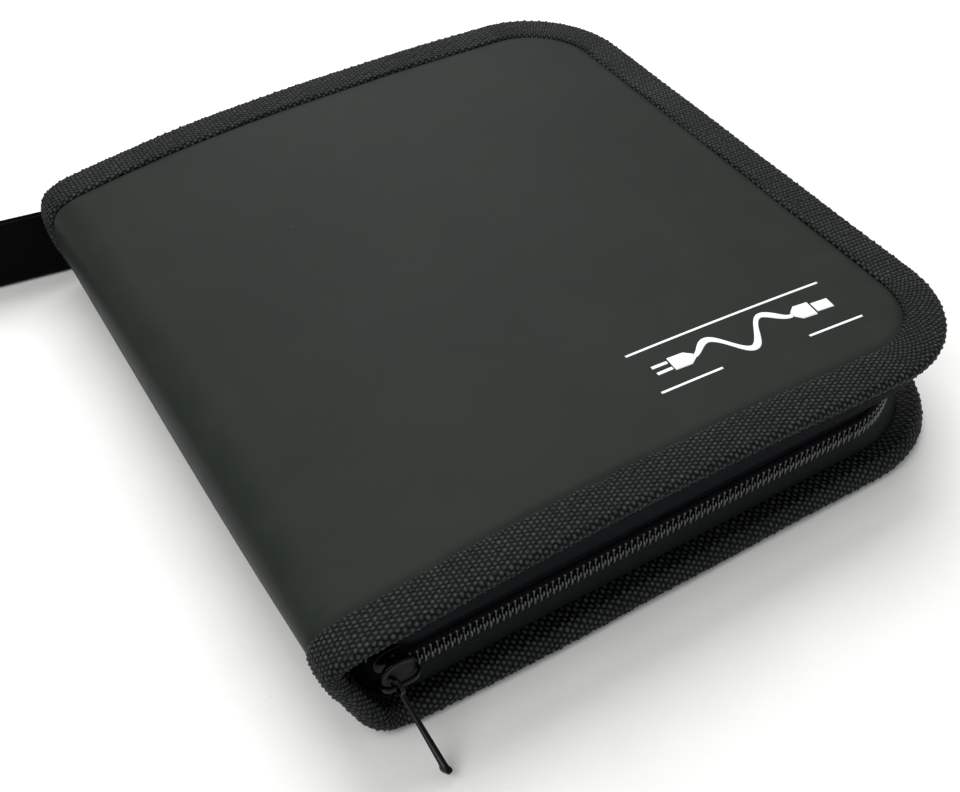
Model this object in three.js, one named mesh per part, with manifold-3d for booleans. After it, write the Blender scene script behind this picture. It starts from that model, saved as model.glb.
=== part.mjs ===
// Cable organizer pouch: a soft zip case like a closed book, lying on its back cover.
//
// Frame, in millimetres: the origin is the middle of the back cover's underside, +X runs from
// the spine to the opening edge, +Y runs along the spine away from the parked slider, +Z is up.
// Both covers are stacks of sheets (skin, padding, board, lining) held in a woven edge tape.

import * as THREE from 'three';
import { mergeVertices } from 'three/addons/utils/BufferGeometryUtils.js';
import Module from 'manifold-3d';

const wasm = await Module();
wasm.setup();

// Overall form
const caseWidth = 165;         // X, spine to opening edge
const caseLength = 180.6;      // Y, along the spine
const crownHeight = 37;        // Z of the highest line of the arched front cover
const crownX = -25;            // where that line lies
const fallToSpine = 4.6;       // how far the arch has fallen at the spine
const fallToEdge = 5;          // and at the opening edge
const cornerRadius = 28;       // the two corners beside the opening edge
const spineRadius = 9;         // outer radius where the covers roll into the spine
const foldInset = 1.93;        // the folding lines' distance inside the outer faces

// Sheets, and the clearance left between neighbours
const clearance = 0.3;
const skinThickness = 0.9;
const paddingThickness = 1.2;
const boardThickness = 1.2;
const liningThickness = 0.7;
const bindingThickness = 0.9;  // woven edge tape
const legGap = 0.1;            // between the board and the tape's inner leg
const bindingWidth = 9.7;      // how far the tape reaches in from the edge, on both faces

// Zip
const zipInset = 4;            // coil line, in from the outer edge
const zipBelowTop = 13.1;      // line where the two coils meet, below the spine's top
const tapeThickness = 0.6;
const coilHeight = 2;
const coilDepth = 1.8;
const coilGap = 1.1;           // kept between the coils for the slider's post
const zipStartIn = 5.5;        // near end of the tapes, in from the spine's outer face
const zipEndIn = 9;            // far end of the tapes
const coilEndIn = 4;           // the coils stop this far short of the far end
const bottomStopLength = 3;
const bottomStopOverlap = 0.4; // stop's reach past the coil on each side

// Slider and pull tab
const sliderLength = 9.4;
const sliderWidth = 8.4;
const sliderParked = 11.5;     // middle of the parked slider, in from the spine's outer face
const plateThickness = 1;
const postLength = 4;
const postThickness = 0.5;
const flangeReach = 3.3;       // side flanges, each way from the slider's middle
const flangeStep = 0.1;        // flanges stand this far inside the plates' edges
const eyeHole = 1.55;          // radius of the hole in the pull tab's eye
const eyeRim = 0.7;            // metal around that hole
const barDepth = 0.8;          // bridge bar, along Y
const barHeight = 1.3;         // bridge bar, along Z
const bridgeLength = 8.8;
const bridgeLeg = 0.8;
const tabRootBehind = 1.5;     // the tab hangs this far behind the slider's middle
const tabThickness = 0.9;
const tabReach = 21.6;         // from the bridge bar to the tab's tip
const tabNeck = 2.2;
const tabTip = 4.6;
const tabRim = 0.5;            // raised lip across the tip, on both faces
const tabRimWidth = 1.2;
const tabDroop = 55;           // degrees below level
const tabTurn = 15;            // degrees turned towards the opening edge

// Strap
const strapWidth = 20;
const webbing = 1.4;
const strapLength = 165;
const strapSewn = 30;          // length over which the two runs are sewn together
const strapCrotch = 6;         // solid webbing beyond the sewing, where the runs part
const loopRadius = 18;
const strapLift = 0.6;         // lower edge above the surface
const strapRootIn = 6.9;       // strap root, in from the spine's outer face
const anchorLength = 14;
const anchorBelowHead = 4.9977;  // its top, below the upper zip tape's head
const strapStandOff = 4.9;     // strap root beyond the far edge of the covers
const strapHeading = 169;      // degrees, in plan

// Inside fittings
const loopCount = 5;
const loopPitch = 28;
const loopShare = 0.36;        // half width of a loop, of the pitch
const loopHeadroom = 6.0171;   // left between the loops and the mesh pocket
const elastic = 1;
const loopStripWidth = 25;
const firstStripIn = 34.5;     // first strip, in from the spine's outer face
const lastStripIn = 35.5;      // last strip, in from the opening edge
const pocketFromSpine = 24.5;
const pocketFromEdge = 16.5;
const pocketFromEnds = 20.3;
const pocketDepth = 6;
const pocketMesh = 0.7;
const hemThickness = 1;

// Values that follow from those above
const halfWidth = caseWidth / 2;
const halfLength = caseLength / 2;
const spineHeight = crownHeight - fallToSpine;
const rollX = -halfWidth + spineRadius;
const rollTurn = Math.PI / 4;
const paddingDepth = skinThickness + clearance;
const boardDepth = paddingDepth + paddingThickness + clearance;
const liningDepth = boardDepth + boardThickness + clearance;
const coverThickness = boardDepth + boardThickness + legGap + bindingThickness;
const stackInset = bindingThickness + clearance;
const panelInset = bindingWidth + clearance;
const zipHeight = spineHeight - zipBelowTop;
const zipStartX = -halfWidth + zipStartIn;
const zipEndX = -halfWidth + zipEndIn;
const sliderX = -halfWidth + sliderParked;
const tabRootX = sliderX - tabRootBehind;
const strapRootX = -halfWidth + strapRootIn;
const loopStripX = [-halfWidth + firstStripIn, halfWidth - lastStripIn - loopStripWidth];
const pocketX = [-halfWidth + pocketFromSpine, halfWidth - pocketFromEdge];
const pocketHalfLength = halfLength - pocketFromEnds;

// ---------------------------------------------------------------- geometry helpers

// A closed body from points and triangles, turned inside out if its volume comes out negative.
function closedBody(points, triangles) {
  let volume = 0;
  for (const [a, b, c] of triangles) volume += points[a].dot(points[b].clone().cross(points[c]));
  const index = triangles.flatMap(([a, b, c]) => (volume < 0 ? [a, c, b] : [a, b, c]));
  const geometry = new THREE.BufferGeometry();
  const numbers = points.flatMap((p) => p.toArray());
  geometry.setAttribute('position', new THREE.Float32BufferAttribute(numbers, 3));
  geometry.setIndex(index);
  return geometry;
}

// A flat section carried along stations; place(station, u, v) puts one section point in space.
function sweep(stations, section, place) {
  const count = section.length;
  const points = stations.flatMap((station) => section.map(([u, v]) => place(station, u, v)));
  const triangles = [];
  for (let i = 0; i + 1 < stations.length; i += 1) {
    for (let j = 0; j < count; j += 1) {
      const a = i * count + j;
      const b = i * count + ((j + 1) % count);
      triangles.push([a, b, b + count], [a, b + count, a + count]);
    }
  }
  const last = (stations.length - 1) * count;
  const cap = THREE.ShapeUtils.triangulateShape(section.map(([u, v]) => new THREE.Vector2(u, v)), []);
  for (const [a, b, c] of cap) triangles.push([c, b, a], [last + a, last + b, last + c]);
  return closedBody(points, triangles);
}

// The same section with its outline turning counterclockwise.
function counterClockwise(section) {
  const area = THREE.ShapeUtils.area(section.map(([u, v]) => new THREE.Vector2(u, v)));
  return area > 0 ? section : [...section].reverse();
}

function toManifold(source) {
  const bare = source.clone();
  bare.deleteAttribute('normal');
  bare.deleteAttribute('uv');
  const merged = mergeVertices(bare, 1e-5);
  const mesh = new wasm.Mesh({
    numProp: 3,
    vertProperties: new Float32Array(merged.attributes.position.array),
    triVerts: new Uint32Array(merged.index.array),
  });
  return new wasm.Manifold(mesh);
}

function fromManifold(solid) {
  const { vertProperties, triVerts } = solid.getMesh();
  const geometry = new THREE.BufferGeometry();
  geometry.setAttribute('position', new THREE.Float32BufferAttribute(vertProperties, 3));
  geometry.setIndex(Array.from(triVerts));
  return geometry;
}

const join = (...parts) => fromManifold(parts.map(toManifold).reduce((a, b) => a.add(b)));
const cut = (body, tool) => fromManifold(toManifold(body).subtract(toManifold(tool)));

// A box between two opposite corners.
function block([x0, y0, z0], [x1, y1, z1]) {
  const box = new THREE.BoxGeometry(x1 - x0, y1 - y0, z1 - z0);
  return box.translate((x0 + x1) / 2, (y0 + y1) / 2, (z0 + z1) / 2);
}

// ---------------------------------------------------------------- the two covers' faces

// How far the front cover's arch has fallen at x.
function archFall(x) {
  const reach = x < crownX ? crownX - rollX : halfWidth - crownX;
  const share = Math.min(Math.abs(x - crownX) / reach, 1);
  return (x < crownX ? fallToSpine : fallToEdge) * share ** 2;
}

// A cover's outer face as stations from the spine's roll to the opening edge. Each has the place
// and outward direction of the face, and the cover's half length there, pulled in by inset.
function faceStations(front, inset, withRoll) {
  const stations = [];
  const up = front ? 1 : -1;
  const rollSteps = 3;
  const flatSteps = 10;
  const cornerSteps = 6;
  const half = halfLength - inset;
  for (let i = 0; withRoll && i < rollSteps; i += 1) {
    const turn = rollTurn * (1 - i / rollSteps);
    const drop = spineRadius * (1 - Math.cos(turn));
    stations.push({
      x: rollX - spineRadius * Math.sin(turn),
      z: front ? spineHeight - drop : drop,
      nx: -Math.sin(turn),
      nz: up * Math.cos(turn),
      half,
    });
  }
  const radius = cornerRadius - inset;
  const cornerX = halfWidth - cornerRadius;
  const flat = (x, halfHere) => stations.push({
    x, z: front ? crownHeight - archFall(x) : 0, nx: 0, nz: up, half: halfHere,
  });
  for (let i = 0; i <= flatSteps; i += 1) flat(rollX + ((cornerX - rollX) * i) / flatSteps, half);
  for (let i = 1; i <= cornerSteps; i += 1) {
    const turn = (Math.PI / 2) * (i / cornerSteps);
    flat(cornerX + radius * Math.sin(turn), half - radius * (1 - Math.cos(turn)));
  }
  return stations;
}

// One sheet of a cover, between two depths below the outer face.
function sheet(front, inset, depth, thickness, withRoll = false) {
  const across = 2;
  const section = [];
  for (let j = 0; j <= across; j += 1) section.push([(2 * j) / across - 1, depth]);
  for (let j = across; j >= 0; j -= 1) section.push([(2 * j) / across - 1, depth + thickness]);
  return sweep(faceStations(front, inset, withRoll), section, (s, u, d) => (
    new THREE.Vector3(s.x - s.nx * d, s.half * u, s.z - s.nz * d)
  ));
}

// The three bound edges of a cover as stations: near run, corner, opening edge, corner, far run.
// Each has the edge's place, the outward direction in plan and the face's outward direction.
function edgeStations(front, startX, endX, withRoll) {
  const face = faceStations(front, 0, withRoll).filter((s) => s.x < halfWidth - cornerRadius + 0.01);
  const level = (x) => ({ z: front ? crownHeight - archFall(x) : 0, nx: 0, nz: front ? 1 : -1 });
  const run = (x0) => {
    const kept = face.filter((s) => s.x > x0 + 1 || withRoll);
    return withRoll ? kept : [{ x: x0, ...level(x0) }, ...kept];
  };
  const cornerX = halfWidth - cornerRadius;
  const cornerY = halfLength - cornerRadius;
  const cornerSteps = 7;
  const near = run(startX).map((s) => ({ ...s, y: -halfLength, ox: 0, oy: -1 }));
  const far = run(endX).map((s) => ({ ...s, y: halfLength, ox: 0, oy: 1 })).reverse();
  const corner = (side) => {
    const stations = [];
    for (let i = 1; i <= cornerSteps; i += 1) {
      const turn = (Math.PI / 2) * (i / cornerSteps);
      const x = cornerX + cornerRadius * Math.sin(turn);
      const y = side * (cornerY + cornerRadius * Math.cos(turn));
      stations.push({ x, y, ox: Math.sin(turn), oy: side * Math.cos(turn), ...level(x) });
    }
    return stations;
  };
  return [...near, ...corner(-1), ...corner(1).reverse(), ...far];
}

// A point of a bound edge, out from the edge in plan and at a depth below the outer face. The
// front cover's legs of tape lie on its arch, so they follow the arch inwards from the edge.
function onEdge(s, out, depth) {
  const x = s.x + s.ox * out;
  const arch = s.nz > 0 ? archFall(s.x) - archFall(x) : 0;
  return new THREE.Vector3(x - s.nx * depth, s.y + s.oy * out, s.z + arch - s.nz * depth);
}

// The channel of folded tape that clasps an edge: an outer leg, a rounded web and an inner leg.
function channelSection() {
  const round = 2;
  const back = bindingThickness;
  const innerDepth = coverThickness - bindingThickness;
  return counterClockwise([
    [-bindingWidth, 0], [-round, 0], [-round * 0.3, round * 0.3], [0, round],
    [0, coverThickness - round], [-round * 0.3, coverThickness - round * 0.3],
    [-round, coverThickness], [-bindingWidth, coverThickness], [-bindingWidth, innerDepth],
    [-back, innerDepth], [-back, back], [-bindingWidth, back],
  ]);
}

const parts = {};
const finishes = {
  rubberised: { color: 0x343a37, roughness: 0.62, metalness: 0 },
  foam: { color: 0x4a4a4a, roughness: 0.95, metalness: 0 },
  board: { color: 0x6e6a62, roughness: 0.8, metalness: 0 },
  lining: { color: 0x1d1e20, roughness: 0.9, metalness: 0 },
  webbing: { color: 0x15171a, roughness: 0.85, metalness: 0 },
  coil: { color: 0x1a1c1c, roughness: 0.45, metalness: 0 },
  painted: { color: 0x0c0c0d, roughness: 0.25, metalness: 0.6 },
};

function add(name, geometry, finish) {
  const mesh = new THREE.Mesh(geometry, new THREE.MeshStandardMaterial(finishes[finish]));
  mesh.name = name;
  parts[name] = mesh;
  return mesh;
}

// ---------------------------------------------------------------- back and front cover

// Skin and lining stop at the tape's legs; padding and board run on inside its channel.
for (const [side, front] of [['back', false], ['front', true]]) {
  add(`${side}_skin`, sheet(front, panelInset, 0, skinThickness, true), 'rubberised');
  add(`${side}_padding`, sheet(front, stackInset, paddingDepth, paddingThickness), 'foam');
  add(`${side}_board`, sheet(front, stackInset, boardDepth, boardThickness), 'board');
  add(`${side}_lining`, sheet(front, panelInset, liningDepth, liningThickness), 'lining');
  const edge = sweep(edgeStations(front, 0, 0, true), channelSection(), onEdge);
  add(`${side}_binding`, edge, 'webbing');
}

// ---------------------------------------------------------------- spine

// The spine's outer face in the XZ plane, between the two places where the rolls are cut.
function spineStations() {
  const stations = [];
  const rollSteps = 3;
  const rollStation = (top, i) => {
    const trim = clearance / spineRadius;
    const turn = rollTurn + trim + (Math.PI / 2 - rollTurn - trim) * (i / rollSteps);
    const drop = spineRadius * (1 - Math.cos(turn));
    return {
      x: rollX - spineRadius * Math.sin(turn),
      z: top ? spineHeight - drop : drop,
      nx: -Math.sin(turn),
      nz: (top ? 1 : -1) * Math.cos(turn),
    };
  };
  for (let i = 0; i <= rollSteps; i += 1) stations.push(rollStation(false, i));
  for (let i = rollSteps; i >= 0; i -= 1) stations.push(rollStation(true, i));
  return stations;
}

// One sheet of the spine, from one bound end to the other.
function spineSheet(inset, depth, thickness) {
  const half = halfLength - inset;
  const inner = depth + thickness;
  const section = counterClockwise([[-half, depth], [half, depth], [half, inner], [-half, inner]]);
  return sweep(spineStations(), section, (s, u, d) => new THREE.Vector3(s.x - s.nx * d, u, s.z - s.nz * d));
}

// The spine has no board, so its padding fills the whole depth up to the lining.
const spinePadding = liningDepth - clearance - paddingDepth;
add('spine_skin', spineSheet(panelInset, 0, skinThickness), 'rubberised');
add('spine_padding', spineSheet(stackInset, paddingDepth, spinePadding), 'foam');
add('spine_lining', spineSheet(panelInset, liningDepth, liningThickness), 'lining');
for (const [side, way] of [['near', -1], ['far', 1]]) {
  const edge = sweep(spineStations(), channelSection(), (s, out, d) => (
    new THREE.Vector3(s.x - s.nx * d, way * (halfLength + out), s.z - s.nz * d)
  ));
  add(`${side}_spine_binding`, edge, 'webbing');
}

// ---------------------------------------------------------------- zip

// How far the inside of the roll has risen at x, where the zip's ends run into the spine.
function rollRise(x) {
  const inner = spineRadius - coverThickness - clearance;
  return inner - Math.sqrt(inner ** 2 - Math.min(x - rollX, 0) ** 2);
}

const lowerTapeFoot = (x) => coverThickness + clearance + rollRise(x);
const coilReach = coilGap / 2 + coilHeight;
const sliderFrontX = sliderX + sliderLength / 2;
const tapeSection = counterClockwise([
  [-zipInset - tapeThickness / 2, 0], [-zipInset + tapeThickness / 2, 0],
  [-zipInset + tapeThickness / 2, 1], [-zipInset - tapeThickness / 2, 1],
]);
const coilSection = counterClockwise([
  [-zipInset - coilDepth / 2, -coilHeight / 2], [-zipInset + coilDepth / 2, -coilHeight / 2],
  [-zipInset + coilDepth / 2, coilHeight / 2], [-zipInset - coilDepth / 2, coilHeight / 2],
]);

// A tape stands upright between two heights given for each x.
function zipTape(low, high) {
  return sweep(edgeStations(true, zipStartX, zipEndX, false), tapeSection, (s, out, share) => (
    new THREE.Vector3(s.x + s.ox * out, s.y + s.oy * out, low(s.x) + (high(s.x) - low(s.x)) * share)
  ));
}

function zipCoil(startX, middleZ) {
  return sweep(edgeStations(true, startX, zipEndX + coilEndIn, false), coilSection, (s, out, up) => (
    new THREE.Vector3(s.x + s.ox * out, s.y + s.oy * out, middleZ + up)
  ));
}

// The upper coil starts where it swings clear of the parked slider's top front corner.
const foldX = -halfWidth + foldInset;
const cornerSwing = Math.hypot(
  sliderFrontX + clearance - foldX,
  zipHeight + sliderWidth / 2 + clearance - foldInset,
);
const coilSwingHeight = zipHeight + coilGap / 2 - foldInset;
const upperCoilStart = foldX + Math.sqrt(cornerSwing ** 2 - coilSwingHeight ** 2);

const frontInside = (x) => crownHeight - archFall(x) - coverThickness;
const upperTapeHead = (x) => frontInside(x) - clearance - rollRise(x);
add('lower_zip_tape', zipTape(lowerTapeFoot, () => zipHeight - coilReach - clearance), 'lining');
add('upper_zip_tape', zipTape(() => zipHeight + coilReach + clearance, upperTapeHead), 'lining');
add('lower_zip_coil', zipCoil(zipStartX, zipHeight - (coilGap + coilHeight) / 2), 'coil');
add('upper_zip_coil', zipCoil(upperCoilStart, zipHeight + (coilGap + coilHeight) / 2), 'coil');

// The crimped stop that holds the two coils together at the far end.
const stopHalfDepth = coilDepth / 2 + bottomStopOverlap;
const farZipY = halfLength - zipInset;
const stopX = zipEndX + coilEndIn - clearance;
add('zip_bottom_stop', block(
  [stopX - bottomStopLength, farZipY - stopHalfDepth, zipHeight - coilReach + clearance],
  [stopX, farZipY + stopHalfDepth, zipHeight + coilReach - clearance],
), 'painted');
parts.zip_bottom_stop.geometry = cut(parts.zip_bottom_stop.geometry, block(
  [stopX - bottomStopLength - 1, farZipY - tapeThickness, zipHeight - coilReach - 1],
  [stopX - bottomStopLength + 1, farZipY + tapeThickness, zipHeight + coilReach + 1],
));

// ---------------------------------------------------------------- slider and pull tab

// Out is measured from the edge of the covers, so the slider sits on the coil line.
const nearY = (out) => -halfLength - out;
const coilFace = -zipInset + coilDepth / 2;
const coilBack = -zipInset - coilDepth / 2;
const plateFace = coilFace + clearance + plateThickness;
const barUnder = plateFace + eyeHole + eyeRim - barDepth / 2 + clearance;
const barMiddle = barUnder + barDepth / 2;

// A slider plate in plan: pointed towards the open end, notched where the coils come together.
function sliderPlate(outLow) {
  const half = sliderWidth / 2;
  const length = sliderLength / 2;
  const shape = new THREE.Shape();
  shape.moveTo(-length, -half * 0.55);
  shape.quadraticCurveTo(-length * 0.9, -half, -length * 0.4, -half);
  shape.lineTo(length * 0.45, -half);
  shape.quadraticCurveTo(length, -half * 0.9, length, -half * 0.5);
  shape.lineTo(length, half * 0.5);
  shape.quadraticCurveTo(length, half * 0.9, length * 0.45, half);
  shape.lineTo(-length * 0.4, half);
  shape.quadraticCurveTo(-length * 0.9, half, -length, half * 0.55);
  shape.closePath();
  const settings = { depth: plateThickness, bevelEnabled: false, curveSegments: 4 };
  const plate = new THREE.ExtrudeGeometry(shape, settings).rotateX(Math.PI / 2);
  return plate.translate(sliderX, nearY(outLow), zipHeight);
}

function sliderBody() {
  const outer = sliderPlate(coilFace + clearance);
  const inner = sliderPlate(coilBack - clearance - plateThickness);
  const outerMiddle = nearY(plateFace - plateThickness / 2);
  const innerMiddle = nearY(coilBack - clearance - plateThickness / 2);
  const post = block(
    [sliderX - postLength / 2, outerMiddle, zipHeight - postThickness / 2],
    [sliderX + postLength / 2, innerMiddle, zipHeight + postThickness / 2],
  );
  const flanges = [];
  const flangeFoot = coilReach + clearance;
  const slot = tapeThickness / 2 + clearance;
  for (const way of [-1, 1]) {
    const z0 = zipHeight + way * flangeFoot;
    const z1 = zipHeight + way * (sliderWidth / 2 - flangeStep);
    const low = [sliderX - flangeReach, Math.min(z0, z1)];
    const high = [sliderX + flangeReach, Math.max(z0, z1)];
    const outerSide = [outerMiddle, nearY(-zipInset + slot)];
    const innerSide = [nearY(-zipInset - slot), innerMiddle];
    for (const [y0, y1] of [outerSide, innerSide]) {
      flanges.push(block([low[0], y0, low[1]], [high[0], y1, high[1]]));
    }
  }
  return join(outer, inner, post, ...flanges);
}

// The bridge is an arch over the outer plate, with the bar that the tab's eye hangs on.
function sliderBridge() {
  const half = bridgeLength / 2;
  const rise = barUnder + barDepth - plateFace - clearance;
  const shape = new THREE.Shape();
  shape.moveTo(-half, 0);
  shape.lineTo(-half, rise * 0.6);
  shape.quadraticCurveTo(-half, rise, -half + rise * 0.4, rise);
  shape.lineTo(half - rise * 0.4, rise);
  shape.quadraticCurveTo(half, rise, half, rise * 0.6);
  shape.lineTo(half, 0);
  shape.lineTo(half - bridgeLeg, 0);
  shape.lineTo(half - bridgeLeg, rise - barDepth);
  shape.lineTo(-half + bridgeLeg, rise - barDepth);
  shape.lineTo(-half + bridgeLeg, 0);
  shape.closePath();
  const settings = { depth: barHeight, bevelEnabled: false, curveSegments: 4 };
  const bridge = new THREE.ExtrudeGeometry(shape, settings);
  bridge.translate(0, 0, -barHeight / 2).rotateX(Math.PI);
  return bridge.translate(sliderX, nearY(plateFace + clearance), zipHeight);
}

add('zip_slider', sliderBody(), 'painted');
add('slider_bridge', sliderBridge(), 'painted');

// The tab is drawn flat with its eye at the origin, then hung: drooped about the bar and turned.
function tabOutline() {
  const eye = eyeHole + eyeRim;
  const shape = new THREE.Shape();
  const meet = Math.asin(tabNeck / 2 / eye);
  shape.absarc(0, 0, eye, meet, 2 * Math.PI - meet, false);
  shape.lineTo(tabReach - tabTip / 2, -tabTip / 2);
  shape.quadraticCurveTo(tabReach, -tabTip / 2, tabReach, -tabTip / 6);
  shape.lineTo(tabReach, tabTip / 6);
  shape.quadraticCurveTo(tabReach, tabTip / 2, tabReach - tabTip / 2, tabTip / 2);
  shape.closePath();
  return shape;
}

function pullTab() {
  const shape = tabOutline();
  const hole = new THREE.Path();
  hole.absarc(0, 0, eyeHole, 0, 2 * Math.PI, true);
  shape.holes.push(hole);
  const settings = { depth: tabThickness, bevelEnabled: false, curveSegments: 6 };
  const plate = new THREE.ExtrudeGeometry(shape, settings).translate(0, 0, -tabThickness / 2);
  const lip = new THREE.BoxGeometry(tabRimWidth, tabTip * 0.7, tabThickness + 2 * tabRim);
  lip.translate(tabReach - tabRimWidth / 2, 0, 0);
  return join(plate, lip);
}

add('pull_tab', pullTab(), 'painted');
const hang = new THREE.Matrix4().makeBasis(
  new THREE.Vector3(0, -1, 0), new THREE.Vector3(0, 0, 1), new THREE.Vector3(-1, 0, 0),
);
const droop = new THREE.Matrix4().makeRotationZ(-THREE.MathUtils.degToRad(tabDroop));
const turn = new THREE.Matrix4().makeRotationZ(THREE.MathUtils.degToRad(tabTurn));
parts.pull_tab.geometry.applyMatrix4(new THREE.Matrix4().multiplyMatrices(turn, hang).multiply(droop));
parts.pull_tab.position.set(tabRootX, nearY(barMiddle), zipHeight);

// ---------------------------------------------------------------- wrist strap

const sewnHalf = webbing / 2 + clearance;

// The loop's centreline offset: sewn flat together at the root, then opening to the round end.
function loopOutline(offset, from) {
  const points = [];
  const opening = strapLength - loopRadius - strapSewn;
  const steps = 9;
  const half = (along) => {
    const share = Math.max(0, (along - strapSewn) / opening);
    return sewnHalf + (loopRadius - sewnHalf) * Math.sin((Math.PI / 2) * share) ** 2;
  };
  const flare = Math.max(from, strapSewn);
  if (from < flare) points.push([from, half(from) + offset]);
  for (let i = 0; i <= steps; i += 1) {
    const along = flare + ((strapLength - loopRadius - flare) * i) / steps;
    points.push([along, half(along) + offset]);
  }
  for (let i = 1; i < steps; i += 1) {
    const turnHere = (Math.PI / 2) * (i / steps);
    const radius = loopRadius + offset;
    points.push([strapLength - loopRadius + radius * Math.sin(turnHere), radius * Math.cos(turnHere)]);
  }
  const tip = [strapLength + offset, 0];
  const mirrored = points.map(([u, v]) => [u, -v]).reverse();
  return [...points, tip, ...mirrored].map(([u, v]) => new THREE.Vector2(u, v));
}

function strapLoop() {
  const shape = new THREE.Shape(loopOutline(webbing / 2, 0));
  shape.holes.push(new THREE.Path(loopOutline(-webbing / 2, strapSewn + strapCrotch).reverse()));
  return new THREE.ExtrudeGeometry(shape, { depth: strapWidth, bevelEnabled: false });
}

const strapRootY = halfLength + strapStandOff;
add('wrist_strap', strapLoop(), 'webbing');
parts.wrist_strap.position.set(strapRootX, strapRootY, strapLift);
parts.wrist_strap.rotation.z = THREE.MathUtils.degToRad(strapHeading);

// The strap's sewn end stands inside the far spine corner and is held by the back cover.
const anchorEnd = strapRootY - webbing - 2 * clearance - sewnHalf;
add('strap_anchor', block(
  [strapRootX - sewnHalf, anchorEnd - anchorLength, lowerTapeFoot(strapRootX - sewnHalf)],
  [strapRootX + sewnHalf, anchorEnd, upperTapeHead(strapRootX - sewnHalf) - anchorBelowHead],
), 'webbing');

// ---------------------------------------------------------------- inside fittings

// The mesh pocket hangs under the front lining; the loops below it keep their headroom.
const pocketTop = Math.min(...pocketX.map(frontInside)) - clearance;
const loopFoot = coverThickness + clearance;
const loopHeight = pocketTop - pocketDepth - loopHeadroom - loopFoot;

// An elastic strip tacked down between its loops: a row of arches, drawn in YZ, carried along X.
function loopStrip() {
  const half = loopPitch * loopShare;
  const rise = loopHeight - elastic;
  const steps = 6;
  const start = (-loopCount * loopPitch) / 2;
  const upper = [new THREE.Vector2(start, elastic)];
  const lower = [new THREE.Vector2(start, 0)];
  for (let i = 0; i < loopCount; i += 1) {
    const middle = start + loopPitch * (i + 0.5);
    for (let j = 0; j <= steps; j += 1) {
      const turnHere = Math.PI * (1 - j / steps);
      const lean = Math.cos(turnHere);
      const lift = Math.sin(turnHere);
      upper.push(new THREE.Vector2(middle + (half + elastic) * lean, elastic + rise * lift));
      lower.push(new THREE.Vector2(middle + half * lean, rise * lift));
    }
  }
  upper.push(new THREE.Vector2(-start, elastic));
  lower.push(new THREE.Vector2(-start, 0));
  const shape = new THREE.Shape([...lower, ...upper.reverse()]);
  const strip = new THREE.ExtrudeGeometry(shape, { depth: loopStripWidth, bevelEnabled: false });
  return strip.rotateX(Math.PI / 2).rotateZ(Math.PI / 2);
}

loopStripX.forEach((x, i) => {
  const strip = add(`elastic_loops_${i + 1}`, loopStrip(), 'lining');
  strip.position.set(x, 0, loopFoot);
});

// The mesh pocket is a shallow tray that is open towards the spine.
const pocketOuter = block(
  [pocketX[0], -pocketHalfLength, pocketTop - pocketDepth],
  [pocketX[1], pocketHalfLength, pocketTop],
);
const pocketHollow = block(
  [pocketX[0] - 1, -pocketHalfLength + pocketMesh, pocketTop - pocketDepth + pocketMesh],
  [pocketX[1] - pocketMesh, pocketHalfLength - pocketMesh, pocketTop + 1],
);
add('mesh_pocket', cut(pocketOuter, pocketHollow), 'lining');
add('pocket_hem', block(
  [pocketX[0] - clearance - hemThickness, -pocketHalfLength, pocketTop - pocketDepth],
  [pocketX[0] - clearance, pocketHalfLength, pocketTop - pocketDepth + hemThickness],
), 'lining');

// ---------------------------------------------------------------- the assembled case

const group = new THREE.Group();
group.add(...Object.values(parts));
export default group;
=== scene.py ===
import math

import bpy
import numpy as np
from mathutils import Matrix


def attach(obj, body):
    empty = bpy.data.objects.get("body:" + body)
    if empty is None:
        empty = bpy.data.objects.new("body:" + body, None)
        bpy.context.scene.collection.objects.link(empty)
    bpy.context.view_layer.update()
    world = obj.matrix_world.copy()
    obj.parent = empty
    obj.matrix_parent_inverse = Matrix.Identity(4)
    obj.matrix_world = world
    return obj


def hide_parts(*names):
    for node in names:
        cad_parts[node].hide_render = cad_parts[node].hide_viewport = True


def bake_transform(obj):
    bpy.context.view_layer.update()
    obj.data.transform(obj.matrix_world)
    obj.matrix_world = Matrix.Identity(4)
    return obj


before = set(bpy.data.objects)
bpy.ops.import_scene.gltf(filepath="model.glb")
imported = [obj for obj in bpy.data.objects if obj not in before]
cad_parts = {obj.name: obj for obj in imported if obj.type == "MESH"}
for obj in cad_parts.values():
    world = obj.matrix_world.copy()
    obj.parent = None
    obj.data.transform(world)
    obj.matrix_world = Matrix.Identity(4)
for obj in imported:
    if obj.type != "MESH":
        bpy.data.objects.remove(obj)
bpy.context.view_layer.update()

# ------------------------------------------------------------------ table, light and camera
# The case lies on a plain pale table under one wide soft lamp, with bright walls all round.
# The case lies on a plain pale table in a bright room. A wide soft lamp hangs beyond it and a smaller
# one to its left. The camera stands over the near spine corner, about 36 cm away.
mm = 0.001

camera_turn = math.radians(-27.02)
camera_rise = math.radians(44.76)
camera_roll = math.radians(-4.75)
camera_distance = 362.93 * mm
camera_aside = -1.547 * mm
camera_up = -11.953 * mm

back = np.array([math.sin(camera_turn) * math.cos(camera_rise),
                 -math.cos(camera_turn) * math.cos(camera_rise), math.sin(camera_rise)])
level = np.array([math.cos(camera_turn), math.sin(camera_turn), 0.0])
upright = np.cross(back, level)
right = level * math.cos(camera_roll) + upright * math.sin(camera_roll)
top = upright * math.cos(camera_roll) - level * math.sin(camera_roll)
camera = bpy.data.objects.new("camera", bpy.data.cameras.new("camera"))
bpy.context.scene.collection.objects.link(camera)
camera.data.lens = 52.0
camera.data.sensor_width = 36.0
camera.data.clip_start = 0.01
camera.matrix_world = Matrix(np.vstack([
    np.column_stack([right, top, back,
                     right * camera_aside + top * camera_up + back * camera_distance]),
    [0, 0, 0, 1]]).tolist())
bpy.context.scene.camera = camera
bpy.context.scene.view_settings.view_transform = "Standard"


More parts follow.
